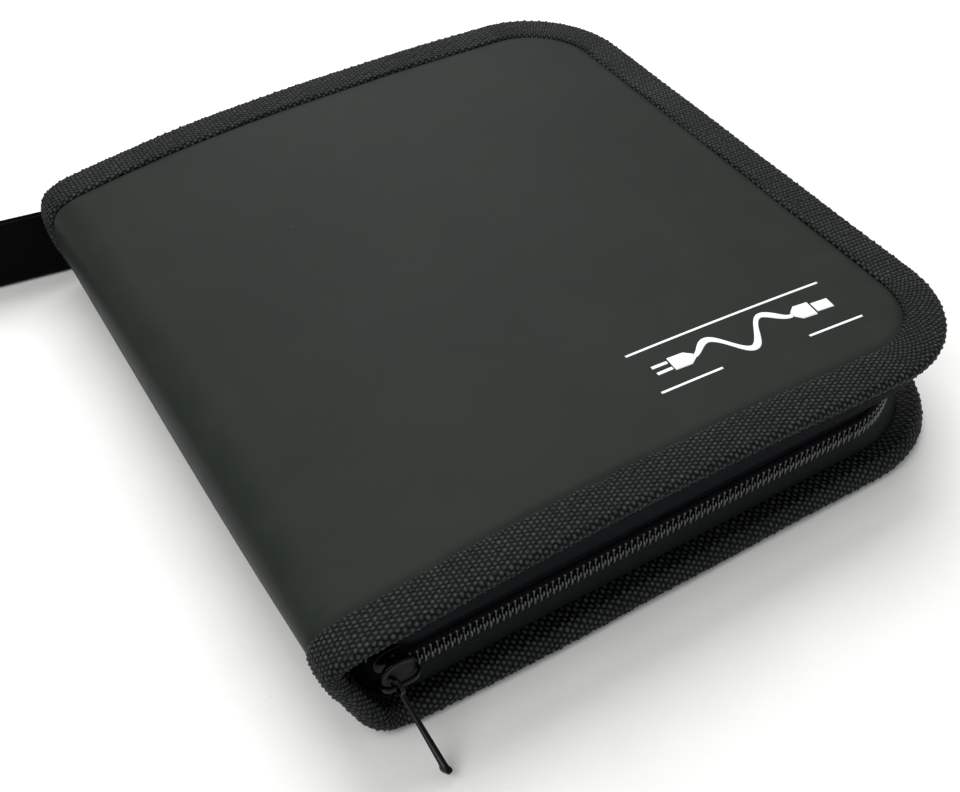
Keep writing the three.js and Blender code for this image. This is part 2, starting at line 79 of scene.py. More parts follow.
def add_node(tree, kind, inputs=None, **settings):
    """One shader node, with its settings and with each named input set to a value or linked to an output."""
    node = tree.nodes.new(kind)
    for key, value in settings.items():
        setattr(node, key, value)
    for key, value in (inputs or {}).items():
        if isinstance(value, bpy.types.NodeSocket):
            tree.links.new(value, node.inputs[key])
        else:
            node.inputs[key].default_value = value
    return node


def math_node(tree, operation, a, b=0.0):
    """operation(a, b), where each is a number or an output."""
    return add_node(tree, "ShaderNodeMath", {0: a, 1: b}, operation=operation).outputs[0]


def mix_colour(tree, share, first, second):
    """first where share is 0, second where it is 1."""
    node = add_node(tree, "ShaderNodeMix", {0: share, 6: first, 7: second}, data_type="RGBA")
    return node.outputs[2]


def spread(tree, value, low, high, to_low=0.0, to_high=1.0):
    """value from low to high, brought to to_low to to_high and held there."""
    return add_node(tree, "ShaderNodeMapRange", {
        "Value": value, "From Min": low, "From Max": high,
        "To Min": to_low, "To Max": to_high}).outputs[0]


def sine_wave(tree, value, pitch):
    """The sine of a value that repeats at every pitch, brought from -1 to 1 to 0 to 1."""
    return spread(tree, math_node(tree, "SINE", math_node(tree, "MULTIPLY", value, 2 * math.pi / pitch)),
                  -1, 1)


def finish_of(name, roughness=0.5, specular=0.5, **constants):
    """A new material, its tree and its Principled shader with the constants set on the sockets."""
    material = bpy.data.materials.new(name)
    material.use_nodes = True
    tree = material.node_tree
    shader = tree.nodes["Principled BSDF"]
    shader.inputs["Roughness"].default_value = roughness
    shader.inputs["Specular IOR Level"].default_value = specular
    for key, value in constants.items():
        shader.inputs[key.replace("_", " ")].default_value = value
    return material, tree, shader


def grey(value):
    """An even grey as a colour."""
    return (value, value, value, 1.0)


def shader_group(name, inputs, outputs):
    """A node group with named float, vector or colour sockets, and its two end nodes."""
    group = bpy.data.node_groups.new(name, "ShaderNodeTree")
    for in_out, sockets in (("INPUT", inputs), ("OUTPUT", outputs)):
        for socket, kind in sockets.items():
            group.interface.new_socket(socket, in_out=in_out, socket_type="NodeSocket" + kind)
    return group, group.nodes.new("NodeGroupInput"), group.nodes.new("NodeGroupOutput")


# Cloudy patches, as of handling and dust, from three-dimensional noise of a given grain in mm.
mottle, given, made = shader_group(
    "mottle", {"Grain": "Float", "Low": "Float", "High": "Float"}, {"Share": "Float"})
place = add_node(mottle, "ShaderNodeTexCoord").outputs["Object"]
noise = add_node(mottle, "ShaderNodeTexNoise", {
    "Vector": place, "Scale": math_node(mottle, "DIVIDE", 1000.0, given.outputs["Grain"]),
    "Detail": 5.0, "Roughness": 0.6})
mottle.links.new(add_node(mottle, "ShaderNodeMapRange", {
    "Value": noise.outputs[0], "From Min": given.outputs["Low"],
    "From Max": given.outputs["High"]}).outputs[0], made.inputs["Share"])


def use_group(tree, group, **inputs):
    """A group placed in a tree, with its inputs set; underscores stand for spaces."""
    node = add_node(tree, "ShaderNodeGroup", node_tree=group)
    for key, value in inputs.items():
        socket = node.inputs[key.replace("_", " ")]
        if isinstance(value, bpy.types.NodeSocket):
            tree.links.new(value, socket)
        else:
            socket.default_value = value
    return node


def set_bump(tree, shader, height, depth_mm):
    """Height from 0 to 1 as relief of that depth."""
    bump = add_node(tree, "ShaderNodeBump", {
        "Height": height, "Distance": depth_mm * mm, "Strength": 1.0})
    tree.links.new(bump.outputs[0], shader.inputs["Normal"])


table_paint, tree, shader = finish_of("table_top", roughness=0.45, specular=0.3)
cloud = use_group(tree, mottle, Grain=60.0, Low=0.3, High=0.7).outputs[0]
speck = use_group(tree, mottle, Grain=1.6, Low=0.66, High=0.72).outputs[0]
pale = mix_colour(tree, cloud, (0.80, 0.80, 0.78, 1), (0.86, 0.86, 0.84, 1))
tree.links.new(mix_colour(tree, math_node(tree, "MULTIPLY", speck, 0.22), pale, (0.45, 0.44, 0.42, 1)),
               shader.inputs["Base Color"])
set_bump(tree, shader, cloud, 0.05)

table_half = 3.0
table_mesh = bpy.data.meshes.new("table_top")
table_mesh.from_pydata([(-table_half, -table_half, 0), (table_half, -table_half, 0),
                        (table_half, table_half, 0), (-table_half, table_half, 0)], [], [(0, 1, 2, 3)])
table_mesh.materials.append(table_paint)
table_top = bpy.data.objects.new("table_top", table_mesh)
bpy.context.scene.collection.objects.link(table_top)

world = bpy.data.worlds.new("bright_room")
bpy.context.scene.world = world
world.use_nodes = True
world.node_tree.nodes["Background"].inputs["Color"].default_value = (0.98, 1.0, 1.0, 1)
world.node_tree.nodes["Background"].inputs["Strength"].default_value = 0.60


def soft_lamp(name, place_m, aim_m, size_m, watts):
    """A square lamp at a place, facing a point."""
    lamp = bpy.data.lights.new(name, "AREA")
    lamp.size = size_m
    lamp.energy = watts
    holder = bpy.data.objects.new(name, lamp)
    bpy.context.scene.collection.objects.link(holder)
    away = np.array(place_m) - np.array(aim_m)
    away = away / np.linalg.norm(away)
    side = np.cross([0, 1, 0], away)
    side = side / np.linalg.norm(side)
    holder.matrix_world = Matrix(np.vstack([
        np.column_stack([side, np.cross(away, side), away, place_m]), [0, 0, 0, 1]]).tolist())


soft_lamp("ceiling_lamp", (0.35, 0.95, 1.35), (0, 0, 0), 1.3, 25.0)
soft_lamp("window_lamp", (-0.8, -0.25, 1.3), (0, 0, 0), 0.8, 8.0)

# ------------------------------------------------------------------ outer skin
# One sheet of thin rubberised cloth, matt and dark green-grey, wraps both covers and the spine.
# It is glued to the padding and sewn in under the edge tape; the front cover stands in a low arch.

case_width = 165.0
case_length = 180.6
crown_height = 37.0
crown_x = -25.0
fall_to_spine = 4.6
fall_to_edge = 5.0
corner_radius = 28.0
tape_width = 9.7
skin_depth = 0.45
skin_thickness = 0.7
half_width = case_width / 2
half_length = case_length / 2


def arch(x):
    """Height of the front cover: the crown's, less a fall that grows with the square of the distance
    from the crown, towards the spine and towards the opening edge."""
    x = np.asarray(x, float)
    left = np.clip((crown_x - x) / (half_width + crown_x), 0, None)
    far = np.clip((x - crown_x) / (half_width - crown_x), 0, None)
    return crown_height - fall_to_spine * left ** 2 - fall_to_edge * far ** 2


def smooth_line(points, steps):
    """A curve through points. On each span it is a cubic whose slope at a point is half the step
    between the point's neighbours."""
    points = np.asarray(points, float)
    padded = np.vstack([2 * points[0] - points[1], points, 2 * points[-1] - points[-2]])
    at = np.linspace(0, len(points) - 1, (len(points) - 1) * steps + 1)
    i = np.minimum(at.astype(int), len(points) - 2)
    t = (at - i)[:, None]
    a, b, c, d = (padded[i + k] for k in range(4))
    return 0.5 * (2 * b + (c - a) * t + (2 * a - 5 * b + 4 * c - d) * t ** 2
                  + (3 * b - a - 3 * c + d) * t ** 3)


# The section across the spine, from the front cover down to the back one: at mid length it
# bulges, and at the two ends the top flares out and the foot is drawn in.
spine_middle = [(-64, 35.0), (-70, 34.3), (-77.5, 33.2), (-82.5, 30.8), (-84.8, 26.5), (-85.2, 21.0),
                (-84.5, 15.0), (-83.4, 9.5), (-81.9, 4.9), (-79.6, 2.0), (-76, 0.4), (-70, 0.0), (-64, 0.0)]
spine_end = [(-64, 35.0), (-71, 34.5), (-79.5, 33.6), (-84.4, 31.6), (-86.1, 28.0), (-85.2, 23.2),
             (-83.6, 18.2), (-81.9, 12.6), (-80.0, 7.2), (-77.9, 3.3), (-75.0, 0.9), (-70, 0.0), (-64, 0.0)]
front_xs = np.linspace(half_width, -58, 20)
back_xs = np.linspace(-58, half_width, 20)


def whole_section(spine):
    """The section from the front cover's opening edge round the spine to the back cover's, as (x, z)."""
    front = np.column_stack([front_xs, arch(front_xs)])
    rear = np.column_stack([back_xs, np.zeros_like(back_xs)])
    return smooth_line(np.vstack([front, spine, rear]), 24)


middle_section = whole_section(spine_middle)
end_section = whole_section(spine_end)
run = np.concatenate([[0], np.cumsum(np.hypot(*np.diff(middle_section, axis=0).T))])
# Distances across the sheet are counted from where the spine stands this high.
spine_middle_height = 17.0
spine_foot = -70.0
back_cover_short = 1.3  # the back cover ends a little inside the front one
from_middle = np.abs(middle_section[:, 1] - spine_middle_height)
spine_run = run[np.argmin(np.where(middle_section[:, 0] > spine_foot, np.inf, from_middle))]
across_known = (spine_run - run)[::-1]
front_reach = spine_run
back_reach = run[-1] - spine_run - back_cover_short


def section_table(section):
    """x, z and the outward direction at each known distance from the middle of the spine."""
    slope = np.gradient(section, run, axis=0)
    slope = slope / np.linalg.norm(slope, axis=1)[:, None]
    return np.column_stack([section, slope[:, 1], -slope[:, 0]])[::-1]


middle_known = section_table(middle_section)
end_known = section_table(end_section)
# How far the sheet's ends are drawn in along the spine, by distance across it.
drawn_across = [-60, -45, -30, -20, -10, 0, 8, 16, 30]
drawn_in = [0, 0.2, 0.8, 1.4, 1.7, 1.5, 1.0, 0.3, 0]
far_end_share = 0.25  # the far end keeps nearly the middle's shape


def fold(across, along, height):
    """The flat sheet laid round the case. across is the distance from the middle of the spine, front
    cover positive; along is Y; height is how far the point stands out of the sheet. The place is that
    of the middle section and the end section, mixed by the cube of along's share, plus height times
    the outward direction."""
    across, along, height = np.broadcast_arrays(across, along, height)
    share = np.clip(np.abs(along / half_length), 0, 1) ** 3 * np.where(along > 0, far_end_share, 1.0)
    at = [np.interp(across, across_known, middle_known[:, k]) * (1 - share)
          + np.interp(across, across_known, end_known[:, k]) * share for k in range(4)]
    length = np.hypot(at[2], at[3])
    tuck = np.interp(across, drawn_across, drawn_in) * share * np.sign(along)
    return np.stack([at[0] + at[2] / length * height, along - tuck,
                     at[1] + at[3] / length * height], -1)


def edge_distance(across, along, reach):
    """How far a point of a cover lies in from its edge, a rectangle with two round corners."""
    out = np.abs(across) - (reach - corner_radius)
    up = np.abs(along) - (half_length - corner_radius)
    return corner_radius - (np.hypot(np.clip(out, 0, None), np.clip(up, 0, None))
                            + np.minimum(np.maximum(out, up), 0))


def mesh_piece(name, points, faces, pattern=None, smooth=True):
    """A mesh from points in mm and arrays of faces, one array for each count of corners. Its volume's
    sign says whether the faces point outwards, and they are all turned if not. pattern is (u, v) for
    each point."""
    points = np.asarray(points, float).reshape(-1, 3)
    faces = [np.asarray(f, np.int32) for f in faces if len(f)]
    volume = 0.0
    for f in faces:
        a = points[f[:, 0]]
        for k in range(1, f.shape[1] - 1):
            volume += np.einsum("ij,ij->i", a, np.cross(points[f[:, k]], points[f[:, k + 1]])).sum()
    if volume < 0:
        faces = [f[:, ::-1] for f in faces]
    corners = np.concatenate([f.ravel() for f in faces])
    counts = np.concatenate([np.full(len(f), f.shape[1]) for f in faces])
    mesh = bpy.data.meshes.new(name)
    mesh.vertices.add(len(points))
    mesh.vertices.foreach_set("co", (points * mm).astype(np.float32).ravel())
    mesh.loops.add(len(corners))
    mesh.loops.foreach_set("vertex_index", corners)
    mesh.polygons.add(len(counts))
    mesh.polygons.foreach_set("loop_start", np.concatenate([[0], np.cumsum(counts)[:-1]]).astype(np.int32))
    mesh.polygons.foreach_set("use_smooth", np.full(len(counts), smooth))
    mesh.update(calc_edges=True)
    if pattern is not None:
        uv = np.asarray(pattern, float).reshape(-1, 2)
        mesh.uv_layers.new(name="pattern").data.foreach_set("uv", uv[corners].astype(np.float32).ravel())
    piece = bpy.data.objects.new(name, mesh)
    bpy.context.scene.collection.objects.link(piece)
    return piece


def grid_faces(rows, columns, start=0, ring=False):
    """The quads of a grid of points; with ring, the last column joins the first."""
    r = np.arange(rows - 1)[:, None]
    c = np.arange(columns if ring else columns - 1)[None, :]
    d = (c + 1) % columns
    return (np.stack([r * columns + c, r * columns + d, (r + 1) * columns + d,
                      (r + 1) * columns + c], -1) + start).reshape(-1, 4)


def sheet_faces(rows, columns, start=0):
    """The quads of two grids of points, one after the other, and of the wall between their edges."""
    count = rows * columns
    top_faces = grid_faces(rows, columns)
    rim = np.concatenate([np.arange(columns), np.arange(1, rows) * columns + columns - 1,
                          np.arange(columns - 2, -1, -1) + (rows - 1) * columns,
                          np.arange(rows - 2, 0, -1) * columns])
    after = np.roll(rim, -1)
    walls = np.stack([after, rim, rim + count, after + count], -1)
    return np.concatenate([top_faces, top_faces[:, ::-1] + count, walls]) + start


def closed_sheet(name, outer, inner, pattern=None):
    """A sheet with a thickness: two grids of points, joined by a wall round their edge."""
    points = np.concatenate([outer.reshape(-1, 3), inner.reshape(-1, 3)])
    if pattern is not None:
        pattern = np.concatenate([pattern.reshape(-1, 2)] * 2)
    return mesh_piece(name, points, [sheet_faces(*outer.shape[:2])], pattern)


def tube_faces(rows, columns, start=0):
    """The quads of a tube of closed rings of points, and the flat faces at its two ends."""
    ends = np.stack([np.arange(columns)[::-1], np.arange(columns) + (rows - 1) * columns])
    return grid_faces(rows, columns, start, ring=True), ends + start


def closed_tube(name, rings, pattern=None):
    """A tube of rings of points, each closed, with a flat face at each end."""
    return mesh_piece(name, rings, tube_faces(*rings.shape[:2]), pattern)


def joined_tubes(name, tubes):
    """Several closed tubes as one piece; their rings all have the same number of points."""
    points, faces, caps, start = [], [], [], 0
    for rings in tubes:
        quads, ends = tube_faces(*rings.shape[:2], start)
        points.append(rings.reshape(-1, 3))
        faces.append(quads)
        caps.append(ends)
        start += rings.shape[0] * rings.shape[1]
    return mesh_piece(name, np.concatenate(points), [np.concatenate(faces), np.concatenate(caps)])


def sheet_grid(side, reach, inset, rows, columns):
    """Flat places on one half of the sheet, inset from its edge: rows run away from the spine and
    crowd towards the opening edge, and columns are shares of the half length there, crowded at both ends."""
    t = np.linspace(0, 1, rows)
    across = (reach - inset) * (0.45 * t + 0.55 * np.sin(t * math.pi / 2))
    s = np.linspace(-1, 1, columns)
    share = 0.45 * s + 0.55 * np.sin(s * math.pi / 2)
    past = np.clip(across - (reach - corner_radius), 0, corner_radius - inset)
    half = half_length - corner_radius + np.sqrt(np.clip((corner_radius - inset) ** 2 - past ** 2, 0, None))
    return np.broadcast_to(side * across[:, None], (rows, columns)), half[:, None] * share[None, :]


def ripple(across, along):
    """Slow dents of a soft cover, from 0 to about 1 either way: a sum of three crossed waves."""
    return (np.sin(across / 23 + 0.7) * np.cos(along / 31 - 0.4) * 0.45
            + np.sin((across + along) / 41 + 2.1) * 0.35 + np.sin((across - 2 * along) / 67) * 0.2)


rubber, tree, shader = finish_of("rubberised_cloth", roughness=0.55, specular=0.06)
patches = use_group(tree, mottle, Grain=46.0, Low=0.36, High=0.68).outputs[0]
smears = use_group(tree, mottle, Grain=11.0, Low=0.52, High=0.78).outputs[0]
grain = use_group(tree, mottle, Grain=0.35, Low=0.25, High=0.75).outputs[0]
dust = use_group(tree, mottle, Grain=0.9, Low=0.752, High=0.775).outputs[0]
base = mix_colour(tree, patches, (0.0126, 0.0166, 0.0140, 1), (0.0158, 0.0202, 0.0172, 1))
base = mix_colour(tree, math_node(tree, "MULTIPLY", smears, 0.35), base, (0.031, 0.036, 0.032, 1))
base = mix_colour(tree, math_node(tree, "MULTIPLY", grain, 0.2), base, (0.013, 0.017, 0.014, 1))
base = mix_colour(tree, math_node(tree, "MULTIPLY", dust, 0.5), base, (0.30, 0.31, 0.29, 1))
tree.links.new(base, shader.inputs["Base Color"])
tree.links.new(spread(tree, smears, 0, 1, 0.50, 0.62), shader.inputs["Roughness"])
set_bump(tree, shader, grain, 0.012)

skin_inset = 8.6
seam_inset = 9.0
seam_depth = 0.55
seam_breadth = 1.3
ripple_height = 0.14
covers = ((1, front_reach, "front"), (-1, back_reach, "back"))


def bend_at_spine(piece, side, *nodes):
    """A sheet that covers one cover and half the spine, laid round the case by fold: its place is baked
    into its points, and it stands for the named parts of the frame, which are hidden."""
    if side > 0:
        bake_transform(piece)
    else:
        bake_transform(piece)
    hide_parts(*nodes)


for side, reach, label in covers:
    across, along = sheet_grid(side, reach, skin_inset, 190, 150)
    inwards = edge_distance(across, along, reach)
    seam_dip = seam_depth * np.exp(-((inwards - seam_inset) / seam_breadth) ** 2)
    stand = -skin_depth - seam_dip + (ripple_height * ripple(across, along) if side > 0 else 0)
    skin = closed_sheet(f"{label}_skin_sheet", fold(across, along, stand),
                        fold(across, along, stand - skin_thickness))
    skin.data.materials.append(rubber)
    bend_at_spine(skin, side, f"{label}_skin", "spine_skin")

# ------------------------------------------------------------------ padding and boards
# Under the skin lies thin foam, and in each cover a sheet of stiff board under the foam.
# Both are glued in and stay out of sight; the foam goes on round the spine, the boards don't.

padding_depth = 1.6
padding_thickness = 1.15
padding_inset = 3.4
board_depth = 2.95
board_thickness = 1.0
board_inset = 4.5
board_start = 34.0  # from the middle of the spine

foam, tree, shader = finish_of("grey_foam", roughness=0.95, specular=0.2)
cells = use_group(tree, mottle, Grain=0.8, Low=0.35, High=0.65).outputs[0]
tree.links.new(mix_colour(tree, cells, grey(0.06), grey(0.10)), shader.inputs["Base Color"])
set_bump(tree, shader, cells, 0.2)

board, tree, shader = finish_of("grey_board", roughness=0.8, specular=0.3)
fibres = use_group(tree, mottle, Grain=2.5, Low=0.35, High=0.7).outputs[0]
tree.links.new(mix_colour(tree, fibres, (0.20, 0.18, 0.15, 1), (0.27, 0.25, 0.21, 1)),
               shader.inputs["Base Color"])
set_bump(tree, shader, fibres, 0.05)

for side, reach, label in covers:
    across, along = sheet_grid(side, reach, padding_inset, 90, 40)
    pad = closed_sheet(f"{label}_padding_sheet", fold(across, along, -padding_depth),
                       fold(across, along, -padding_depth - padding_thickness))
    pad.data.materials.append(foam)
    bend_at_spine(pad, side, f"{label}_padding", "spine_padding")


def finish_node(name, material):
    """A part of the frame kept as it is, in a material of its own."""
    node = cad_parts[name]
    node.data.materials.clear()
    node.data.materials.append(material)


for side, reach, label in covers:
    across, along = sheet_grid(side, reach, board_inset, 80, 40)
    kept = np.searchsorted(np.abs(across[:, 0]), board_start)
    across, along = across[kept:], along[kept:]
    stiffener = closed_sheet(f"{label}_board_sheet", fold(across, along, -board_depth),
                             fold(across, along, -board_depth - board_thickness))
    stiffener.data.materials.append(board)
    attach(stiffener, f"{label}_cover")
    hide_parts(f"{label}_board")

# ------------------------------------------------------------------ lining
# Thin black nylon cloth, plain woven, glued over the inside of both covers and of the spine.
# Its edges run under the inner legs of the edge tape.

lining_depth = 4.15
lining_thickness = 0.35
lining_inset = 6.6
crease_height = 0.12
thread_pitch = 0.55

nylon, tree, shader = finish_of("lining_nylon", roughness=0.55, specular=0.2)
flat_place = add_node(tree, "ShaderNodeSeparateXYZ", {
    0: add_node(tree, "ShaderNodeUVMap", uv_map="pattern").outputs[0]})
threads = [math_node(tree, "SINE", math_node(tree, "MULTIPLY", flat_place.outputs[k],
                                             2 * math.pi / thread_pitch)) for k in (0, 1)]
weave = spread(tree, math_node(tree, "MULTIPLY", *threads), -1, 1)
shade = use_group(tree, mottle, Grain=30.0, Low=0.35, High=0.7).outputs[0]
tree.links.new(mix_colour(tree, shade, mix_colour(tree, weave, grey(0.010), grey(0.022)),
                          mix_colour(tree, weave, grey(0.014), grey(0.030))), shader.inputs["Base Color"])
set_bump(tree, shader, weave, 0.08)

for side, reach, label in covers:
    across, along = sheet_grid(side, reach, lining_inset, 130, 90)
    crease = crease_height * ripple(across * 3, along * 3)
    lining = closed_sheet(f"{label}_lining_sheet", fold(across, along, -lining_depth + crease),
                          fold(across, along, -lining_depth - lining_thickness + crease),
                          np.stack([across, along], -1))
    lining.data.materials.append(nylon)
    bend_at_spine(lining, side, f"{label}_lining", "spine_lining")

# ------------------------------------------------------------------ edge tape
# A wide black tape of thick yarn, with round beads packed like a honeycomb, is folded over every edge
# and sewn through. It grips skin, padding and zip tape together, and rounds the case's outline.

bead_pitch = 2.2
bead_rows = 22
bead_height = 0.5
steps_per_bead = 6
front_lip = 1.3
back_lip = 2.6
cover_thickness = 4.9
front_sink, back_sink = 0.12, 0.42  # how deep each tape sits in the sheet
lip_change_length = 26.0  # from each end of the tape, over which its lip takes the spine's thickness
puff_height = 0.22
selvedge_drop = 0.75
selvedge_rows = 1.6
outer_leg_thickness = 1.35
inner_leg_thickness = 0.75
inner_leg_short = 0.6
nick_x, nick_y = -18.4, -80.9
nick_depth = 1.1


def round_path(t, start, reach, half, radius):
    """A path round three sides of a rectangle with two round corners. t runs 0 to 1 along the near
    side, 1 to 2 round its corner, 2 to 3 along the end, 3 to 4 round, 4 to 5 back along the far side.
    It gives the middle of the turn and the outward direction; the path is middle + radius * outward."""
    knots = np.arange(6)
    x = np.interp(t, knots, [start] + [reach - radius] * 4 + [start])
    y = np.interp(t, knots, np.array([-1, -1, -1, 1, 1, 1]) * (half - radius))
    turn = np.radians(np.interp(t, knots, [-90, -90, 0, 0, 90, 90]))
    return np.stack([x, y], -1), np.stack([np.cos(turn), np.sin(turn)], -1)


def even_steps(start, reach, half, radius, spacing):
    """The path's parameter at evenly spaced distances along it, and those distances."""
    t = np.linspace(0, 5, 6001)
    centre, out = round_path(t, start, reach, half, radius)
    run = np.concatenate([[0], np.cumsum(np.linalg.norm(np.diff(centre + radius * out, axis=0), axis=1))])
    count = max(2, round(run[-1] / spacing))
    distance = np.linspace(0, run[-1], count + 1)
    return np.interp(distance, run, t), distance


def bead(u, v):
    """Height of round beads packed in a honeycomb, 0 to 1: the sum of three crossed cosines,
    cos 4 pi u + 2 cos 2 pi u cos pi v, brought to 0..1 and raised to the power 0.6."""
    waves = np.cos(4 * math.pi * u) + 2 * np.cos(2 * math.pi * u) * np.cos(math.pi * v)
    return np.clip((waves + 1.5) / 4.5, 0, 1) ** 0.6


# Bead heights in a honeycomb, a tint for each bead, and a share of painted shade for the hollows between
# beads.
woven, given, made = shader_group("woven_beads", {"Pattern": "Vector"},
                                  {"Height": "Float", "Painted_Gap_Shade": "Float", "Tint": "Float"})
part = add_node(woven, "ShaderNodeSeparateXYZ", {0: given.outputs[0]})
single = math_node(woven, "COSINE", math_node(woven, "MULTIPLY", part.outputs[0], 4 * math.pi))
crossed = math_node(woven, "MULTIPLY",
                    math_node(woven, "COSINE", math_node(woven, "MULTIPLY", part.outputs[0], 2 * math.pi)),
                    math_node(woven, "COSINE", math_node(woven, "MULTIPLY", part.outputs[1], math.pi)))
waves = math_node(woven, "ADD", single, math_node(woven, "MULTIPLY", crossed, 2.0))
height = math_node(woven, "POWER", spread(woven, waves, -1.5, 3.0), 0.6)
tint = add_node(woven, "ShaderNodeTexNoise", {
    "Vector": add_node(woven, "ShaderNodeMapping", {
        "Vector": given.outputs[0], "Scale": (1.7, 0.45, 1.0)}).outputs[0],
    "Scale": 1.0, "Detail": 1.0})
woven.links.new(height, made.inputs["Height"])
# The gap share is painted shade: it rises where the beads are low, in the hollows between them.
woven.links.new(spread(woven, height, 0.38, 0.88), made.inputs["Painted_Gap_Shade"])
woven.links.new(spread(woven, tint.outputs[0], 0.35, 0.65), made.inputs["Tint"])


def woven_finish(name, low, high, depth_mm, specular):
    """Thick dull yarn: each bead has a shade of its own, the gaps between beads are painted nearly black
    as shade, and fine filaments run along the beads."""
    material, tree, shader = finish_of(name, roughness=0.5, specular=specular)
    straight_pattern = add_node(tree, "ShaderNodeUVMap", uv_map="pattern").outputs[0]
    stray = add_node(tree, "ShaderNodeTexNoise", {
        "Vector": straight_pattern, "Scale": 0.8, "Detail": 1.0})
    pull = add_node(tree, "ShaderNodeVectorMath", {
        0: stray.outputs[1], 1: (0.5, 0.5, 0.5)}, operation="SUBTRACT")
    pull = add_node(tree, "ShaderNodeVectorMath", {
        0: pull.outputs[0], 1: (0.22, 0.7, 0.0)}, operation="MULTIPLY")
    pattern = add_node(tree, "ShaderNodeVectorMath", {
        0: straight_pattern, 1: pull.outputs[0]}).outputs[0]
    beads = use_group(tree, woven, Pattern=pattern)
    yarn = add_node(tree, "ShaderNodeTexNoise", {
        "Vector": add_node(tree, "ShaderNodeMapping", {
            "Vector": pattern, "Scale": (3.0, 16.0, 1.0)}).outputs[0],
        "Scale": 1.0, "Detail": 2.0}).outputs[0]
    age = use_group(tree, mottle, Grain=14.0, Low=0.40, High=0.75).outputs[0]
    lint = use_group(tree, mottle, Grain=0.7, Low=0.74, High=0.78).outputs[0]
    shade = mix_colour(tree, beads.outputs["Tint"], low, high)
    shade = mix_colour(tree, math_node(tree, "MULTIPLY", age, 0.5), shade,
                       tuple(c * 1.7 for c in high[:3]) + (1,))
    shade = mix_colour(tree, math_node(tree, "MULTIPLY", spread(tree, yarn, 0.35, 0.7), 0.35), shade,
                       tuple(c * 1.9 for c in high[:3]) + (1,))
    # Painted shade: the hollows between the beads are darkened to nearly black.
    shade = mix_colour(tree, beads.outputs["Painted_Gap_Shade"], grey(0.0010), shade)
    shade = mix_colour(tree, math_node(tree, "MULTIPLY", lint, 0.3), shade, grey(0.2))
    tree.links.new(shade, shader.inputs["Base Color"])
    height = math_node(tree, "ADD", beads.outputs["Height"], math_node(tree, "MULTIPLY", yarn, 0.18))
    set_bump(tree, shader, height, depth_mm)
    return material


# The edge tape's yarn, with painted shade in the hollows between its beads.
tape_yarn = woven_finish("edge_tape_yarn", (0.008, 0.0100, 0.0098, 1), (0.034, 0.0400, 0.0395, 1),
                         0.16, 0.1)


def edge_tape(name, side, reach, lip_here):
    """The tape round one cover and half of each spine end. Its section lies in (inset, height): a flat
    outer leg, a round lip and an inner leg, then back inside. Along it stand the beads' heights."""
    t, distance = even_steps(0, reach, half_length, corner_radius, bead_pitch / steps_per_bead)
    u = (distance / bead_pitch)[:, None]
    spine_share = np.clip(1 - np.minimum(distance, distance[-1] - distance) / lip_change_length, 0, 1)
    spine_share = spine_share ** 2 * (3 - 2 * spine_share)
    lip = (lip_here + ((front_lip + back_lip) / 2 - lip_here) * spine_share)[:, None]
    leg = tape_width - lip
    v = np.arange(2 * bead_rows + 1)[None, :] / 2
    s = v / bead_rows * (leg + math.pi * lip)
    on_leg = s < leg
    turn = np.clip((s - leg) / lip, 0, math.pi)
    rows = np.minimum(v, bead_rows - 1e-3)
    uneven = 0.8 + 0.3 * np.sin(u * 4.1 + rows * 0.9) * np.sin(u * 1.7 - rows * 0.6)
    relief = bead_height * uneven * bead(u, rows)
    wander = 0.16 * np.sin(u * 0.37 + v * 1.3) + 0.12 * np.sin(u * 0.113 + 2)
    puff = puff_height * np.sin(np.clip(s / leg, 0, 1) * math.pi)
    selvedge = selvedge_drop * np.clip(1 - v / selvedge_rows, 0, 1) ** 1.5
    sink = back_sink if side < 0 else front_sink
    outer_inset = (np.where(on_leg, tape_width - s, lip * (1 - np.sin(turn)))
                   - np.where(on_leg, 0.0, np.sin(turn)) * relief
                   + np.where(v > 1.4, wander * 0.5, wander))
    outer_height = (np.where(on_leg, 0.0, lip * (np.cos(turn) - 1)) + puff - selvedge - sink
                    - bead_height * 0.35 + np.where(on_leg, 1.0, np.cos(turn)) * relief)
    inner_t = np.linspace(0.25, 1, 4)[None, :]
    inner_end = tape_width - inner_leg_short
    inner_inset = lip + (inner_end - lip) * inner_t
    inner_height = (-2 * lip + (2 * lip - cover_thickness) * np.clip(inner_t * 1.6, 0, 1)
                    - sink * 0.4)
    one = np.ones_like(lip)
    hidden_inset = np.concatenate([inner_end * one, lip + 0.4, (tape_width - 0.2) * one], 1)
    hidden_height = np.concatenate([(inner_leg_thickness - cover_thickness) * one, -lip,
                                    -outer_leg_thickness * one], 1)
    inset = np.concatenate([outer_inset, inner_inset, hidden_inset], 1)
    height = np.concatenate([outer_height, inner_height, hidden_height], 1)
    centre, out = round_path(t, 0, reach, half_length, corner_radius)
    flat = centre[:, None, :] + out[:, None, :] * (corner_radius - inset)[..., None]
    points = fold(side * flat[..., 0], flat[..., 1], height)
    if side > 0:
        away = np.hypot((points[..., 0] - nick_x) / 2.4, (points[..., 1] - nick_y) / 1.1)
        points[..., 2] -= nick_depth * np.exp(-away ** 2)
    beyond = bead_rows + np.arange(1, points.shape[1] - v.size + 1) * 1.6
    pattern = np.stack(np.broadcast_arrays(u, np.concatenate([v[0], beyond])[None, :]), -1)
    piece = closed_tube(name, points, pattern)
    piece.data.materials.append(tape_yarn)
    return piece


front_tape = edge_tape("front_edge_tape", 1, front_reach, front_lip)
bend_at_spine(front_tape, 1, "front_binding", "near_spine_binding", "far_spine_binding")
back_tape = edge_tape("back_edge_tape", -1, back_reach, back_lip)
bend_at_spine(back_tape, -1, "back_binding", "near_spine_binding", "far_spine_binding")

